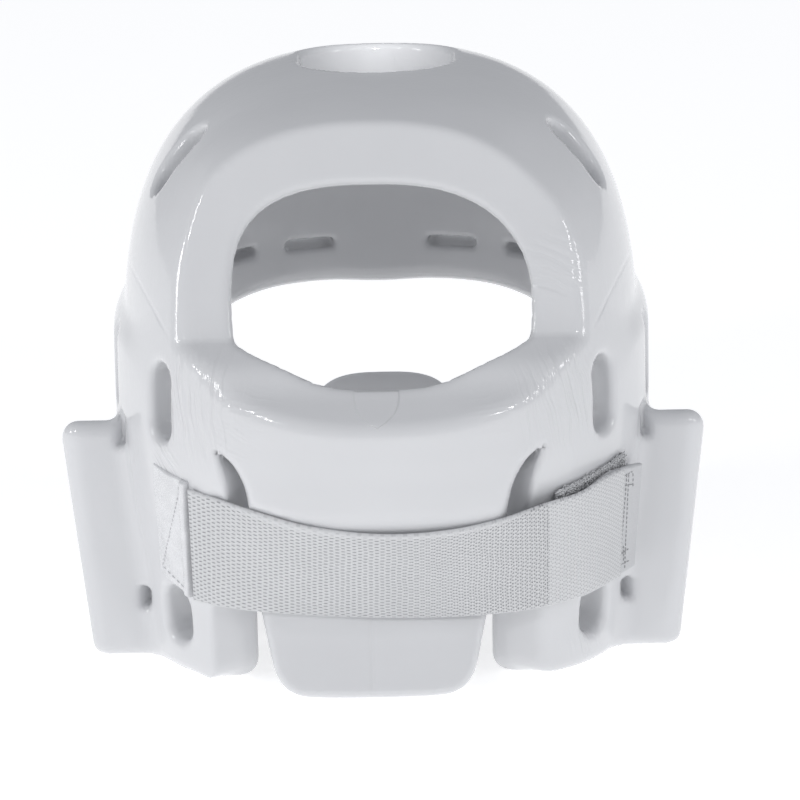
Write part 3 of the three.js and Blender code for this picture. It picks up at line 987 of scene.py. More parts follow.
@dataclass(frozen=True)
class Finish:
    """A finish that can make its material; colours are linear."""

    name: str
    light: Colour
    dark: Colour

    def material(self) -> bpy.types.Material:
        """Material of this finish, made once."""
        found = bpy.data.materials.get(self.name)
        return found if found is not None else self.paint(NodeKit(self.name))

    def paint(self, kit: NodeKit) -> bpy.types.Material:
        """Node tree of the finish."""
        raise NotImplementedError


@dataclass(frozen=True)
class Crease:
    """Patch of fine folds in the skin: middle, reach, direction across them, folds in a metre and depth."""

    middle: tuple[float, float, float]
    reach: float
    across: tuple[float, float, float]
    density: float
    depth: float
    full: float = 0.25
    bend: float = 0.006
    bend_scale: float = 60.0
    break_up: float = 40.0

    def height(self, kit: NodeKit, where: Value) -> Value:
        """Noise along the direction across the folds, bent a little, that fades out at the reach.

        Args:
            kit: node kit of the material.
            where: object coordinates.

        Returns:
            Height from 0 to the depth.
        """
        away = kit.vector("DISTANCE", where, self.middle)
        bend = kit.noise(where, self.bend_scale, 1.0) * self.bend
        lines = (kit.vector("DOT_PRODUCT", where, self.across) + bend) * self.density
        folds = kit.noise(kit.join(lines, away * self.break_up, 0.0), 1.0, 1.0)
        return folds * away.step(self.reach, self.reach * self.full) * self.depth


@dataclass(frozen=True)
class DippedVinyl(Finish):
    """Glossy vinyl dip: faint orange peel, slow changes of tone, folds at the slits and moulded lines."""

    creases: tuple[Crease, ...] = (
        Crease((-0.066, -0.094, 0.112), 0.030, (0.92, -0.38, 0.10), 420.0, 1.0),
        Crease((-0.052, -0.106, 0.102), 0.013, (0.50, 0.20, 0.84), 620.0, 0.2),
        Crease((0.064, -0.095, 0.112), 0.028, (0.92, 0.38, 0.20), 560.0, 0.8),
        Crease((0.052, -0.104, 0.092), 0.013, (0.80, 0.20, -0.56), 620.0, 0.25),
        Crease((-0.047, -0.108, 0.113), 0.015, (0.20, 0.50, 0.84), 650.0, 0.16),
        Crease((0.038, -0.111, 0.112), 0.014, (-0.20, 0.50, 0.84), 650.0, 0.14),
        Crease((0.060, -0.078, 0.156), 0.018, (0.30, 0.30, 0.90), 480.0, 0.5),
        Crease((0.072, -0.062, 0.014), 0.014, (0.75, 0.60, 0.30), 560.0, 0.6),
        Crease((-0.074, -0.080, 0.088), 0.012, (0.60, -0.30, 0.74), 560.0, 0.6),
    )
    fold_depth: float = 0.0013
    shield_up: tuple[float, float, float] = (0.0, 0.292, 0.956)
    shield: tuple[float, float, float, float] = (-0.0018, 0.0836, 0.0078, 0.0128)
    shield_edge: tuple[float, float] = (-0.0006, 0.0004)
    shield_back: tuple[float, float] = (-0.08, -0.09)
    shield_rise: float = 0.3
    line_x: float = -0.0052
    line_half: float = 0.0012
    line_top: tuple[float, float] = (0.034, 0.026)
    line_back: tuple[float, float] = (-0.06, -0.07)
    line_sink: float = 0.1
    groove_y: float = -0.038
    groove_z: float = 0.146
    groove_bow: float = 0.15
    groove_half: float = 0.0016
    groove_back: tuple[float, float] = (-0.085, -0.07)
    groove_ahead: tuple[float, float] = (-0.015, -0.03)
    groove_sink: float = 0.1
    cloud: tuple[float, float] = (0.3, 0.7)

    def moulded(self, kit: NodeKit, where: Value) -> Value:
        """Moulded lines: a shield on the flap's top, the tongue's middle line and a groove over each ear.

        Args:
            kit: node kit of the material.
            where: object coordinates.

        Returns:
            Height from 0 to 1.
        """
        x, y, z = kit.split(where)
        mid_x, top, half, tall = self.shield
        drop = top - kit.vector("DOT_PRODUCT", where, self.shield_up)
        fall = drop / tall
        wide = (1.0 - fall * fall * fall) * half - (x - mid_x).math("ABSOLUTE")
        shield = wide.step(*self.shield_edge) * drop.step(*self.shield_edge) * y.step(*self.shield_back)
        line = (x - self.line_x).math("ABSOLUTE").step(self.line_half, 0.0)
        line = line * z.step(*self.line_top) * y.step(*self.line_back)
        ahead = y - self.groove_y
        arc = self.groove_z - ahead * ahead / self.groove_bow
        groove = (z - arc).math("ABSOLUTE").step(self.groove_half, 0.0)
        groove = groove * y.step(*self.groove_back) * y.step(*self.groove_ahead)
        return shield * self.shield_rise - line * self.line_sink - groove * self.groove_sink

    def paint(self, kit: NodeKit) -> bpy.types.Material:
        """Tone and roughness from slow noise; bump from orange peel, folds and moulded lines.

        Args:
            kit: node kit of the material.

        Returns:
            The material.
        """
        where = kit.place("Object")
        cloud = kit.noise(where, 14.0, 3.0)
        peel = kit.noise(where, 420.0, 2.0) * 0.03 + kit.noise(where, 70.0, 1.0) * 0.10
        height = peel + self.moulded(kit, where)
        for crease in self.creases:
            height = height + crease.height(kit, where)
        return kit.skin({
            "Base Color": kit.mix(cloud.step(*self.cloud), self.dark, self.light),
            "Roughness": cloud * 0.05 + 0.08,
            "Normal": kit.bump(height, self.fold_depth),
            "IOR": 1.5,
        })


@dataclass(frozen=True)
class PlainVinyl(Finish):
    """Soft vinyl cloth of the sewn tab, with fine grain and shallow puckers."""

    def paint(self, kit: NodeKit) -> bpy.types.Material:
        """Grain from fine noise, puckers from coarser noise; the puckers' lows are painted darker as shade.

        Args:
            kit: node kit of the material.

        Returns:
            The material.
        """
        where = kit.place("UV")
        grain = kit.noise(where, 1800.0, 2.0)
        pucker = kit.noise(where, 160.0, 2.0)
        # The base colour follows the puckers: painted shade in their lows.
        return kit.skin({
            "Base Color": kit.mix(pucker.step(0.3, 0.7), self.dark, self.light),
            "Roughness": grain * 0.1 + 0.22,
            "Normal": kit.bump(grain * 0.1 + pucker * 0.9, 0.0009),
            "IOR": 1.5,
        })


@dataclass(frozen=True)
class WovenElastic(Finish):
    """Woven elastic: wefts across the band between covered rubber warps, open where it is stretched.

    The pits stand in columns, each shifted by half a step against the next. Past a place the columns draw
    together, finer threads show, and past the seam the band is double and dense.
    """

    pair: float = 0.00395
    row: float = 0.0019
    narrow_from: float = 0.11
    narrowing: float = 1630.0
    seam: float = 0.131
    width: float = 0.052
    selvage: float = 0.0016
    hem: float = 0.0006
    seam_half: float = 0.001
    finer: tuple[float, float] = (0.06, 0.12)

    def paint(self, kit: NodeKit) -> bpy.types.Material:
        """Pits where two sine waves cross; the one along gains phase with the square of the way past a place.

        Args:
            kit: node kit of the material.

        Returns:
            The material.
        """
        place = kit.place("UV")
        u, v, _ = kit.split(place)
        drift = kit.noise(place, 90.0, 1.0) * 0.3
        past = (u - self.narrow_from).math("MAXIMUM", 0.0)
        along = u / self.pair + past * past * self.narrowing + drift
        across = v / self.row + drift
        fine = u.step(*self.finer) * 0.6 + 0.1
        columns = (along.wave() - 0.5) + ((along * 3.0).wave() - 0.5) * fine
        lift = (across.wave() - 0.5) * columns * 2.0 + 0.5
        fuzz = kit.noise(place, 2600.0, 2.0)
        half = self.width / 2
        edge = (v - half).math("ABSOLUTE").step(half - self.selvage, half - self.hem)
        dense = u.step(self.seam - self.seam_half, self.seam + self.seam_half)
        open_share = (1.0 - edge * 0.7) * (1.0 - dense * 0.45)
        # Painted shade: the weave's open pits are darkened in the base colour below.
        painted_pit_shade = lift.step(0.4, 0.05) * open_share
        shade = kit.noise(place, 45.0, 2.0)
        tone = 1.0 - painted_pit_shade * 0.8 - fuzz * 0.16 - shade * 0.1
        return kit.skin({
            "Base Color": kit.mix(tone, self.dark, self.light),
            "Roughness": 0.85,
            "Normal": kit.bump(lift * 0.75 * open_share + fuzz * 0.25, 0.0005),
            "IOR": 1.45,
        })


@dataclass(frozen=True)
class TapeCloth(Finish):
    """Ground cloth of the hook and loop tapes, and thread: fine ribs under fuzz."""

    rib: float = 0.0009

    def paint(self, kit: NodeKit) -> bpy.types.Material:
        """Ribs from a sine wave along the tape, broken up by fuzz; the colour is darker in the lows as
        painted shade.

        Args:
            kit: node kit of the material.

        Returns:
            The material.
        """
        place = kit.place("UV")
        u, _, _ = kit.split(place)
        fuzz = kit.noise(place, 1500.0, 3.0)
        height = (u / self.rib).wave() * 0.4 + fuzz * 0.6
        # The base colour follows the height: painted shade in the rib valleys and fuzz lows.
        return kit.skin({
            "Base Color": kit.mix(height.step(0.2, 0.6), self.dark, self.light),
            "Roughness": 0.8,
            "Normal": kit.bump(height, 0.0003),
            "IOR": 1.45,
        })


VINYL = DippedVinyl("dipped_vinyl", (0.74, 0.745, 0.76), (0.715, 0.72, 0.735))
TAB_VINYL = PlainVinyl("tab_vinyl", (0.78, 0.785, 0.8), (0.72, 0.725, 0.74))
# The elastic's dark colour shows mostly in the weave's pits, as painted shade.
ELASTIC = WovenElastic("woven_elastic", (0.74, 0.745, 0.755), (0.30, 0.305, 0.32))
# The loop tape's ground is darkened as painted shade under the loop pile.
LOOP_CLOTH_PAINTED_SHADE = TapeCloth("loop_cloth_painted_shade", (0.5, 0.505, 0.515), (0.26, 0.265, 0.275))
PILE_YARN = TapeCloth("pile_yarn", (0.8, 0.805, 0.815), (0.66, 0.665, 0.68))
HOOK_CLOTH = TapeCloth("hook_cloth", (0.66, 0.665, 0.68), (0.54, 0.545, 0.56))
THREAD = TapeCloth("thread", (0.74, 0.745, 0.755), (0.6, 0.605, 0.62), 0.0004)
# Dark grey thread stands for painted shade in the stitch holes.
THREAD_PAINTED_SHADE = TapeCloth("thread_painted_shade", (0.40, 0.405, 0.415), (0.26, 0.265, 0.275), 0.0004)


def dress(piece: bpy.types.Object, finish: Finish, slot: Slot, *nodes: str) -> None:
    """Give a piece its finish and its body, and hide the solids it stands for.

    Args:
        piece: the piece.
        finish: finish to put on it.
        slot: material slot of the record; not used.
        nodes: solids that the piece stands for.
    """
    piece.data.materials.append(finish.material())
    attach(piece, BODY)
    if nodes:
        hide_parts(*nodes)


def smooth_line(knots: Array, t: Array) -> Array:
    """Centripetal Catmull-Rom line: cubics between the knots, with slopes weighted by the spacing's root.

    Args:
        knots: points that the line goes through, one row each.
        t: places on the line from 0 to 1, with equal shares for each span.

    Returns:
        Points of the line.
    """
    ends = 2 * knots[:1] - knots[1:2], 2 * knots[-1:] - knots[-2:-1]
    padded = np.concatenate([ends[0], knots, ends[1]])
    spans = len(knots) - 1
    place = np.clip(t, 0.0, 1.0) * spans
    i = np.minimum(place.astype(int), spans - 1)
    w = (place - i)[:, None]
    p0, p1, p2, p3 = (padded[i + k] for k in range(4))
    pairs = (p0, p1), (p1, p2), (p2, p3)
    d0, d1, d2 = (np.linalg.norm(b - a, axis=1, keepdims=True) ** 0.5 for a, b in pairs)
    start = ((p1 - p0) / d0 - (p2 - p0) / (d0 + d1) + (p2 - p1) / d1) * d1
    end = ((p2 - p1) / d1 - (p3 - p1) / (d1 + d2) + (p3 - p2) / d2) * d1
    low = (1 + 2 * w) * (1 - w) ** 2 * p1 + w * (1 - w) ** 2 * start
    return low + w * w * (3 - 2 * w) * p2 + w * w * (w - 1) * end


@dataclass(frozen=True)
class Ribbon:
    """Flat band: a profile with round edges carried along the line of its two edges; sizes in mm."""

    low: Array
    top: Array
    normal: Array
    thick: float
    across: int = 20
    edge_steps: int = 6

    def at(self, station: Array, share: Array) -> tuple[Array, Array]:
        """Points on the band's outer face, for stitches.

        Args:
            station: places along the band from 0 to 1.
            share: places across it, from the low edge to the top edge.

        Returns:
            Points and normals.
        """
        place = np.clip(station, 0.0, 1.0) * (len(self.low) - 1)
        i = np.minimum(place.astype(int), len(self.low) - 2)
        w = (place - i)[:, None]
        low, top, normal = (blend(line[i], line[i + 1], w) for line in (self.low, self.top, self.normal))
        return blend(low, top, share[:, None]) + self.thick * normal, normal

    def build(self, name: str) -> bpy.types.Object:
        """Grid of stations and profile points; the last rings close on the middle of the thickness.

        Args:
            name: name of the piece.

        Returns:
            The band, with its UV map in metres along and across.
        """
        r = self.thick / 2
        flat = np.linspace(0.0, 1.0, self.across + 1)
        arc = np.radians(np.linspace(90.0, -90.0, self.edge_steps + 1)[1:-1])
        share = np.concatenate([flat, np.ones(len(arc)), flat[::-1], np.zeros(len(arc))])
        shift = np.concatenate([0 * flat, r * np.cos(arc), 0 * flat, -r * np.cos(arc)])
        lift = np.concatenate([0 * flat + r, r * np.sin(arc), 0 * flat - r, -r * np.sin(arc)])
        closing = np.r_[0.0, np.ones(len(self.low)), 0.0]
        low, top, normal = (np.concatenate([a[:1], a, a[-1:]]) for a in (self.low, self.top, self.normal))
        along = unit(np.gradient((low + top) / 2, axis=0))
        along[0], along[-1] = -along[1], along[-2]
        push = np.r_[r, np.zeros(len(self.low)), r]
        width = np.linalg.norm(top - low, axis=1)[:, None]
        s = r + (width - 2 * r) * share + shift
        up = unit(top - low)
        points = (
            (low + push[:, None] * along + r * normal)[:, None]
            + s[..., None] * up[:, None]
            + (closing[:, None] * lift)[..., None] * normal[:, None]
        )
        middle = (low + top) / 2
        length = np.r_[0.0, np.cumsum(np.linalg.norm(np.diff(middle, axis=0), axis=1))]
        uv = np.stack(np.broadcast_arrays(length[:, None], s), -1) * MM
        faces = grid_faces(len(low), len(share), wrap=True)
        return write_mesh(name, points.reshape(-1, 3), faces, uv.reshape(-1, 2), weld=True)


@dataclass(frozen=True)
class Stitch:
    """Thread stitch: distance from one to the next, length and thread radius in mm."""

    pitch: float
    length: float
    radius: float
    rings: int = 6
    sides: int = 6
    blunt: int = 6
    bow: float = 0.6

    def build(self, name: str, at: Array, normal: Array, along: Array) -> bpy.types.Object:
        """Stitches as spindles with blunt ends, bowed up in the middle by a parabola.

        Args:
            name: name of the piece.
            at: middles of the stitches.
            normal: directions away from the cloth.
            along: directions of the stitches.

        Returns:
            All stitches as one mesh.
        """
        t = np.linspace(-1.0, 1.0, self.rings)
        turn = np.linspace(0.0, 2 * np.pi, self.sides, endpoint=False)
        thick = self.radius * np.sqrt(np.clip(1.0 - t**self.blunt, 0.0, 1.0))
        side = unit(np.cross(normal, along))
        rise = (self.radius * (self.bow - t * t))[:, None] * normal[:, None]
        middle = at[:, None] + (t * self.length / 2)[:, None] * along[:, None] + rise
        ring = np.cos(turn)[:, None] * side[:, None, None] + np.sin(turn)[:, None] * normal[:, None, None]
        points = middle[:, :, None] + thick[None, :, None, None] * ring
        one = grid_faces(self.rings, self.sides, wrap=True)
        faces = (one[None] + (np.arange(len(at)) * self.rings * self.sides)[:, None, None]).reshape(-1, 4)
        return write_mesh(name, points.reshape(-1, 3), faces, weld=True)

    def sew(self, name: str, place: Place, lines: Rows) -> bpy.types.Object:
        """Stitches along straight lines in the two shares of a cloth.

        Args:
            name: name of the piece.
            place: gives points and normals for the two shares.
            lines: start and end shares of each line, as u, v, u, v.

        Returns:
            All stitches as one mesh.
        """
        found = []
        for u0, v0, u1, v1 in lines:
            ends, _ = place(np.array([u0, u1]), np.array([v0, v1]))
            count = max(2, int(round(np.linalg.norm(ends[1] - ends[0]) / self.pitch)))
            t = (np.arange(count) + 0.5) / count
            ahead_t = t + 0.25 / count
            at, normal = place(blend(u0, u1, t), blend(v0, v1, t))
            ahead, _ = place(blend(u0, u1, ahead_t), blend(v0, v1, ahead_t))
            found.append((at, normal, unit(ahead - at)))
        return self.build(name, *(np.concatenate(part) for part in zip(*found)))


@dataclass(frozen=True)
class WallPatch:
    """Four-sided sheet on the foam wall: x and height of its corners, distances from the wall, and bow."""

    top_start: tuple[float, float]
    top_end: tuple[float, float]
    low_end: tuple[float, float]
    low_start: tuple[float, float]
    near: float
    far: float
    bow: float = 0.0
    rows: int = 60
    columns: int = 90
    crowding: float = 0.8
    slant: float = 1.35

    def at(self, u: Array, v: Array, offset: Array | float) -> tuple[Array, Array]:
        """Point of the wall at shares of the sheet's width and height, moved out by the offset.

        The place is bilinear between the four corners, and the top edge bows up as a parabola.

        Args:
            u: share from the first upright edge to the second.
            v: share from the low edge to the top edge.
            offset: distance from the wall.

        Returns:
            Points and normals.
        """
        corners = zip(self.low_start, self.low_end, self.top_start, self.top_end)
        x, z = (blend(blend(a, b, u), blend(c, d, u), v) for a, b, c, d in corners)
        z = z + 4.0 * self.bow * u * (1.0 - u) * v
        return FORM.on_wall(FORM.angle_at_x(x, z), z, offset)

    def shares(self) -> tuple[Array, Array]:
        """Grid of u and v, closer together at the edges."""
        u, v = (np.linspace(0.0, 1.0, n) for n in (self.rows, self.columns))
        u, v = (blend(s, smoothstep(s, 0.0, 1.0), self.crowding) for s in (u, v))
        return np.meshgrid(u, v, indexing="ij")

    def border(self, u: Array, v: Array) -> Array:
        """Rough distance in mm from the nearest edge of the sheet."""
        width = abs(self.top_end[0] - self.top_start[0]) * self.slant
        height = (self.top_start[1] + self.top_end[1] - self.low_start[1] - self.low_end[1]) / 2
        return np.minimum(np.minimum(u, 1 - u) * width, np.minimum(v, 1 - v) * height)

    def build(
        self, name: str, relief: Array | float = 0.0, lift: Array | float = 0.0, edge: float = 0.8
    ) -> bpy.types.Object:
        """Outer and inner face as grids that meet at the edges; the outer one rounds off by a quarter circle.

        Args:
            name: name of the piece.
            relief: height added to the outer face at each grid point, in mm.
            lift: height added to both faces at each grid point, in mm.
            edge: radius of the rounded edges in mm.

        Returns:
            The sheet, with its UV map in metres.
        """
        u, v = self.shares()
        inward = np.clip(self.border(u, v) / edge, 0.0, 1.0)
        rounding = np.sqrt(1.0 - (1.0 - inward) ** 2)
        outer, _ = self.at(u, v, self.near + lift + (self.far - self.near + relief) * rounding)
        inner, _ = self.at(u, v, self.near + lift + 0 * u)
        turn = 1 if self.top_end[0] > self.top_start[0] else -1
        faces = grid_faces(self.rows, self.columns)[:, ::-turn]
        points = np.concatenate([outer.reshape(-1, 3), inner.reshape(-1, 3)])
        count = self.rows * self.columns
        wide = np.r_[0.0, np.cumsum(np.linalg.norm(np.diff(inner[:, self.columns // 2], axis=0), axis=1))]
        tall = np.r_[0.0, np.cumsum(np.linalg.norm(np.diff(inner[self.rows // 2], axis=0), axis=1))]
        uv = np.stack(np.broadcast_arrays(wide[:, None], tall[None]), -1).reshape(-1, 2) * MM
        both = np.concatenate([faces[:, ::-1], faces + count])
        return write_mesh(name, points, both, np.concatenate([uv, uv]), weld=True)


@dataclass(frozen=True)
class RearClosure:
    """Rear elastic from the sewn tab on the left to the hook-and-loop tape on the right; sizes in mm."""

    thick: float = 1.8
    stations: int = 120
    touch: float = 0.4
    loop_thick: float = 1.8
    hook_thick: float = 1.4
    free: Rows = (
        (-57.4, -98.5, 79.6, -59.4, -77.8, 32.9),
        (-43.2, -108.0, 77.5, -45.1, -80.5, 31.7),
        (-25.8, -114.2, 74.2, -27.2, -82.8, 31.0),
        (-0.4, -116.6, 71.6, -1.1, -84.6, 30.2),
        (22.9, -114.6, 72.1, 22.8, -83.2, 29.5),
        (42.3, -108.5, 74.3, 42.5, -81.0, 29.7),
        (54.8, -102.4, 76.7, 55.1, -80.6, 31.2),
    )
    left_gap: float = 0.9
    left_end: tuple[float, float, float, float] = (-67.3, 81.3, -67.3, 32.9)
    right: Rows = (
        (66.2, 79.8, 66.2, 33.7),
        (73.2, 82.0, 73.2, 34.8),
        (80.6, 81.8, 79.6, 35.3),
    )
    gaps: float = 3.5
    tab: WallPatch = WallPatch((-81.6, 85.0), (-68.7, 83.0), (-68.7, 33.0), (-80.6, 39.0), -0.3, 1.6)
    loop: WallPatch = WallPatch((60.0, 78.8), (85.0, 83.2), (83.4, 36.5), (60.0, 36.5), 0.2, 1.7)
    hook: WallPatch = WallPatch((66.0, 74.5), (88.6, 77.0), (86.2, 35.0), (66.0, 36.5), 2.5, 4.0, 5.4)
    fold_at: float = 0.9
    fold_rise: float = 1.3
    thin_side: tuple[float, float] = (0.45, 0.5)
    thin_top: tuple[float, float] = (0.8, 0.45)
    pucker: float = 0.14
    hook_rise: float = 1.2
    hook_from: tuple[float, float] = (0.5, 0.66)
    pile_seed: int = 7
    pile_loops: int = 1300
    pile_band: float = 0.16
    loop_wide: tuple[float, float] = (0.4, 0.8)
    loop_tall: tuple[float, float] = (0.9, 2.0)
    loop_points: int = 7
    loop_root: float = 0.2
    loop_stray: float = 0.4
    yarn: float = 0.16
    tab_stitch: Stitch = Stitch(2.4, 1.7, 0.2)
    strap_stitch: Stitch = Stitch(1.6, 0.9, 0.14)
    hook_stitch: Stitch = Stitch(2.0, 1.6, 0.2)
    tab_thread: float = 0.12
    hook_thread: float = 0.05
    tab_seams: Rows = ((0.8, 0.05, 0.8, 0.95), (0.8, 0.9, 0.14, 0.1), (0.14, 0.1, 0.8, 0.05))
    strap_seams: Rows = ((0.713, 0.04, 0.713, 0.96),)
    hook_seams: Rows = (
        (0.7, 0.08, 0.72, 0.95),
        (0.79, 0.04, 0.75, 0.94),
        (0.69, 0.93, 0.82, 0.95),
        (0.7, 0.84, 0.84, 0.83),
        (0.82, 0.94, 0.84, 0.8),
        (0.7, 0.33, 0.71, 0.2),
        (0.71, 0.2, 0.84, 0.22),
        (0.69, 0.1, 0.86, 0.1),
        (0.74, 0.28, 0.76, 0.12),
    )

    def on_wall(self, row: Sequence[float], offset: float) -> tuple[Array, Array]:
        """Top and low point of a strap section that lies on the wall."""
        x, z = np.array(row[::2]), np.array(row[1::2])
        return tuple(FORM.on_wall(FORM.angle_at_x(x, z), z, offset)[0])

    def ribbon(self) -> Ribbon:
        """Band between two smooth lines through the sections' top and low points.

        Returns:
            The band.
        """
        stacked = self.gaps * self.touch + self.loop_thick + self.hook_thick
        sections = [self.on_wall(self.left_end, self.left_gap)]
        sections += [(np.array(row[:3]), np.array(row[3:])) for row in self.free]
        sections += [self.on_wall(row, stacked) for row in self.right]
        t = np.linspace(0.0, 1.0, self.stations)
        top = smooth_line(np.array([s[0] for s in sections]), t)
        low = smooth_line(np.array([s[1] for s in sections]), t)
        along = np.gradient(top + low, axis=0)
        return Ribbon(low, top, unit(np.cross(along, top - low)), self.thick)

    def tab_relief(self) -> Array:
        """The tab's cloth: folded back along its last edge as an arc, thin along its first and top edges.

        Returns:
            Height added at each grid point, in mm, with puckers from two crossed sine waves.
        """
        u, v = self.tab.shares()
        from_fold = (u - self.fold_at) / (1.0 - self.fold_at)
        fold = np.sqrt(np.clip(1.0 - from_fold**2, 0.0, 1.0))
        side_to, side_depth = self.thin_side
        top_from, top_depth = self.thin_top
        thin = (1.0 - smoothstep(u, 0.0, side_to)) * side_depth + smoothstep(v, top_from, 1.0) * top_depth
        pucker = self.pucker * np.sin(9.0 * u + 4.0 * v) * np.sin(13.0 * v + 2.0 * u)
        return self.fold_rise * fold - thin + pucker

    def hook_lift(self) -> Array:
        """The hook tape rises towards the strap's face past the strap's end."""
        u, _ = self.hook.shares()
        return self.hook_rise * smoothstep(u, *self.hook_from)

    def pile(self) -> bpy.types.Object:
        """Loop pile: each loop is a half ellipse of four-sided yarn, at a random place and turn on the tape.

        The loops crowd at the tape's top edge, where they lean up over it.

        Returns:
            All loops as one mesh.
        """
        pick = np.random.default_rng(self.pile_seed)
        u = pick.uniform(0.01, 0.99, self.pile_loops)
        inward = pick.uniform(0.0, 1.0, self.pile_loops) ** 2
        root = self.loop.far - self.loop_root
        base = pick.uniform(self.loop.near, root, self.pile_loops)
        at, normal = self.loop.at(u, 1.0 - inward * self.pile_band, blend(base, root, inward))
        turn = pick.uniform(0.0, np.pi, self.pile_loops)[:, None]
        side = unit(np.cross(normal, (0.0, 0.0, 1.0)))
        along = np.cos(turn) * side + np.sin(turn) * np.cross(normal, side)
        lean = (1.0 - inward)[:, None] * np.cross(side, normal)
        up = unit(normal + lean + pick.normal(0.0, self.loop_stray, (self.pile_loops, 3)))
        wide = pick.uniform(*self.loop_wide, (self.pile_loops, 1, 1))
        tall = pick.uniform(*self.loop_tall, (self.pile_loops, 1, 1))
        bow = np.linspace(0.0, np.pi, self.loop_points)[None, :, None]
        path = at[:, None] + wide * np.cos(bow) * along[:, None] + tall * np.sin(bow) * up[:, None]
        out = unit(np.cos(bow) * along[:, None] + np.sin(bow) * up[:, None])
        flank = np.broadcast_to(unit(np.cross(along, up))[:, None], out.shape)
        ring = np.stack([out, flank, -out, -flank], 2) * self.yarn
        points = path[:, :, None] + ring
        one = grid_faces(self.loop_points, 4, wrap=True)
        first = np.arange(self.pile_loops) * self.loop_points * 4
        faces = (one[None] + first[:, None, None]).reshape(-1, 4)
        spread = np.stack(np.broadcast_arrays(points[..., 0], points[..., 2]), -1).reshape(-1, 2) * MM
        return write_mesh("loop_pile", points.reshape(-1, 3), faces, spread)

    def build(self) -> list[bpy.types.Object]:
        """Strap, tab, tapes, loop pile and stitches.

        Returns:
            The pieces.
        """
        band = self.ribbon()
        strap = band.build("rear_elastic")
        dress(strap, ELASTIC, Slot.ELASTIC, "rear_strap")
        tab = self.tab.build("sewn_tab", self.tab_relief())
        dress(tab, TAB_VINYL, Slot.TAB, "strap_tab")
        loop = self.loop.build("loop_tape")
        dress(loop, LOOP_CLOTH_PAINTED_SHADE, Slot.LOOP, "loop_patch")
        hook = self.hook.build("hook_tape", lift=self.hook_lift())
        dress(hook, HOOK_CLOTH, Slot.HOOK, "hook_tab")
        pile = self.pile()
        dress(pile, PILE_YARN, Slot.LOOP)
        on_tab = self.tab.far + self.tab_thread
        tab_seam = self.tab_stitch.sew("tab_stitches", lambda u, v: self.tab.at(u, v, on_tab), self.tab_seams)
        dress(tab_seam, THREAD, Slot.TAB)
        seam = self.strap_stitch.sew("strap_stitches", band.at, self.strap_seams)
        dress(seam, THREAD_PAINTED_SHADE, Slot.ELASTIC)
        on_hook = self.hook.far + self.hook_rise + self.hook_thread
        seam_place: Place = lambda u, v: self.hook.at(u, v, on_hook)
        tack = self.hook_stitch.sew("hook_stitches", seam_place, self.hook_seams)
        dress(tack, THREAD_PAINTED_SHADE, Slot.HOOK)
        return [strap, tab, loop, hook, pile, tab_seam, seam, tack]


@dataclass(frozen=True)
class ChinHarness:
    """Chin elastic across the front and the foam pad inside it; sizes in mm."""

    top_z: float = 53.0
    low_z: float = 15.0
    thick: float = 1.8
    offset: float = 0.7
    end_angle: float = 120.0
    stations: int = 90
    pad_z: float = 37.0
    pad_half: tuple[float, float] = (30.0, 24.5)
    pad_thick: float = 9.0
    pad_power: float = 3.2
    pad_round: float = 0.5
    pad_steps: tuple[int, int] = (72, 41)
    pad_fill: float = 0.9
    stitch: Stitch = Stitch(2.2, 1.6, 0.2)
    seams: Rows = (
        (0.02, 0.05, 0.02, 0.95),
        (0.08, 0.05, 0.08, 0.95),
        (0.02, 0.05, 0.08, 0.95),
        (0.92, 0.05, 0.92, 0.95),
        (0.98, 0.05, 0.98, 0.95),
        (0.92, 0.95, 0.98, 0.05),
    )

    def ribbon(self) -> Ribbon:
        """Band on the wall from one cheek round the front to the other.

        Returns:
            The band.
        """
        angle = np.radians(np.linspace(self.end_angle, 360.0 - self.end_angle, self.stations))
        top, _ = FORM.on_wall(angle, np.full(self.stations, self.top_z), self.offset)
        low, _ = FORM.on_wall(angle, np.full(self.stations, self.low_z), self.offset)
        along = np.gradient(top + low, axis=0)
        return Ribbon(low, top, unit(np.cross(along, top - low)), self.thick)

    def pad(self) -> bpy.types.Object:
        """Chin pad: a superelliptic outline on the wall that swells to its thickness as a rounded pebble.

        Returns:
            The pad.
        """
        around = np.linspace(0.0, 2 * np.pi, self.pad_steps[0], endpoint=False)
        lift = np.linspace(-np.pi / 2, np.pi / 2, self.pad_steps[1])
        power = 2.0 / self.pad_power
        size = np.cos(lift[:, None]) ** self.pad_round
        across = np.sign(np.cos(around)) * np.abs(np.cos(around)) ** power * size
        rise = np.sign(np.sin(around)) * np.abs(np.sin(around)) ** power * size
        z = self.pad_z + self.pad_half[1] * rise
        x = self.pad_half[0] * across
        depth = -self.pad_thick / 2 * (1 - np.sin(lift))[:, None] + 0 * x
        points, _ = FORM.on_wall(np.pi - FORM.angle_at_x(x, z), z, depth)
        faces = grid_faces(len(lift), len(around), wrap=True)
        return write_mesh("chin_pad", points.reshape(-1, 3), faces, weld=True)

    def build(self) -> list[bpy.types.Object]:
        """Elastic, its seams and the pad.

        Returns:
            The pieces.
        """
        band = self.ribbon()
        strap = band.build("chin_elastic")
        dress(strap, ELASTIC, Slot.ELASTIC, "chin_strap")
        seam = self.stitch.sew("chin_stitches", band.at, self.seams)
        dress(seam, THREAD, Slot.ELASTIC)
        pad = self.pad()
        dress(pad, VINYL, Slot.FOAM, "chin_cup")
        return [strap, seam, pad]


@dataclass(frozen=True)
class Lamp:
    """Square area light: place, what it points at, size in metres, power in watts and spread in degrees."""

    name: str
    at: tuple[float, float, float]
    aim: tuple[float, float, float]
    size: float
    power: float
    spread: float = 180.0

    def build(self) -> None:
        """Add the light, turned towards its aim; it isn't seen itself."""
        data = bpy.data.lights.new(self.name, "AREA")
        data.size = self.size
        data.energy = self.power
        data.spread = np.radians(self.spread)
        lamp = bpy.data.objects.new(self.name, data)
        lamp.visible_camera = False
        turn = (Vector(self.aim) - Vector(self.at)).to_track_quat("-Z", "Y").to_matrix().to_4x4()
        lamp.matrix_world = Matrix.Translation(self.at) @ turn
        bpy.context.scene.collection.objects.link(lamp)


MIDDLE = (0.0064, 0.0, 0.0842)


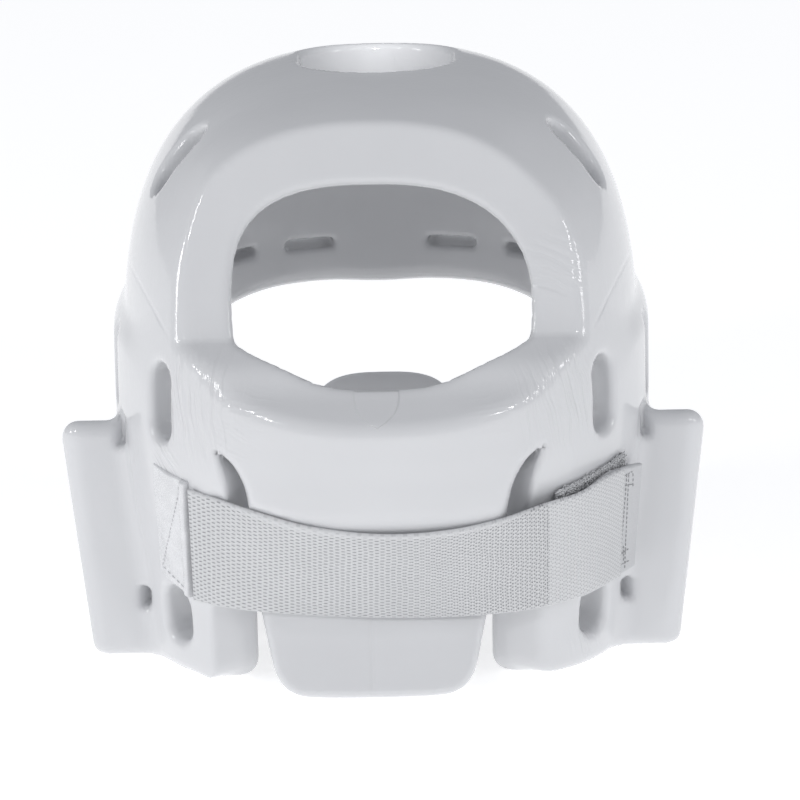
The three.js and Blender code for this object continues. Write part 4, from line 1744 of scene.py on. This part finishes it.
@dataclass(frozen=True)
class Studio:
    """Camera, floor and lights; lengths in metres, angles in degrees."""

    elevation: float = 17.0
    distance: float = 1.8
    target: tuple[float, float, float] = MIDDLE
    roll: float = 1.1
    lens: float = 218.9
    sensor: float = 36.0
    clip: tuple[float, float] = (0.05, 60.0)
    floor_size: float = 30.0
    floor_glow: float = 0.55
    surround: float = 0.43
    surround_colour: Colour = (0.93, 0.95, 1.0)
    lamps: tuple[Lamp, ...] = (
        Lamp("left_softbox", (-1.9, -0.7, 0.7), MIDDLE, 0.4, 7.0),
        Lamp("right_softbox", (1.8, -0.8, 0.7), MIDDLE, 0.4, 4.0),
        Lamp("left_front", (-1.1, -1.5, 1.1), MIDDLE, 0.2, 3.4),
        Lamp("right_front", (1.1, -1.5, 1.1), MIDDLE, 0.2, 2.8),
        Lamp("crown_light", (0.0, -0.25, 0.34), (0.0, 0.057, 0.213), 0.012, 0.0034, 13.0),
    )

    def camera(self) -> None:
        """Camera behind the guard, looking down on the target, turned about its own axis by the roll."""
        lift, turn = np.radians(self.elevation), np.radians(self.roll)
        ahead = np.array([0.0, np.cos(lift), -np.sin(lift)])
        up = np.array([0.0, np.sin(lift), np.cos(lift)])
        right = np.array([1.0, 0.0, 0.0])
        aside = np.cos(turn) * right - np.sin(turn) * up
        above = np.sin(turn) * right + np.cos(turn) * up
        data = bpy.data.cameras.new("photo_camera")
        data.lens, data.sensor_width = self.lens, self.sensor
        data.clip_start, data.clip_end = self.clip
        eye = bpy.data.objects.new("photo_camera", data)
        pose = np.eye(4)
        pose[:3, :3] = np.stack((aside, above, -ahead), 1)
        pose[:3, 3] = np.array(self.target) - self.distance * ahead
        eye.matrix_world = Matrix(pose.tolist())
        bpy.context.scene.collection.objects.link(eye)
        bpy.context.scene.camera = eye

    def floor(self) -> None:
        """Plain pale floor under the guard."""
        reach = self.floor_size / 2 / MM
        corners = reach * np.array([[-1.0, -1.0, 0.0], [1.0, -1.0, 0.0], [1.0, 1.0, 0.0], [-1.0, 1.0, 0.0]])
        plane = write_mesh("floor", corners, np.array([[0, 1, 2, 3]]))
        plane.data.materials.append(NodeKit("pale_floor").skin({
            "Base Color": (0.9, 0.9, 0.9, 1.0),
            "Roughness": 0.9,
            "Emission Color": (1.0, 1.0, 1.0, 1.0),
            "Emission Strength": self.floor_glow,
        }))

    def light(self) -> None:
        """Even pale surround, broad lights aside, crisper ones beside the camera and one on the crown."""
        world = bpy.data.worlds.new("studio")
        world.use_nodes = True
        background = world.node_tree.nodes["Background"]
        background.inputs["Color"].default_value = (*self.surround_colour, 1.0)
        background.inputs["Strength"].default_value = self.surround
        bpy.context.scene.world = world
        for lamp in self.lamps:
            lamp.build()

    def build(self) -> None:
        """Camera, floor and lights, shown without a film curve."""
        self.camera()
        self.floor()
        self.light()
        bpy.context.scene.view_settings.view_transform = "Standard"


def main() -> None:
    """Build the guard piece by piece and report each."""
    logging.basicConfig(level=logging.INFO, format="%(name)s: %(message)s")
    Studio().build()
    LOG.info("camera, floor and lights")
    closure = RearClosure()
    shell = FoamShell().build(VINYL, closure.ribbon())
    LOG.info("%s: %d faces", shell.name, len(shell.data.polygons))
    for piece in closure.build() + ChinHarness().build():
        LOG.info("%s: %d faces", piece.name, len(piece.data.polygons))


if __name__ == "__main__":
    main()
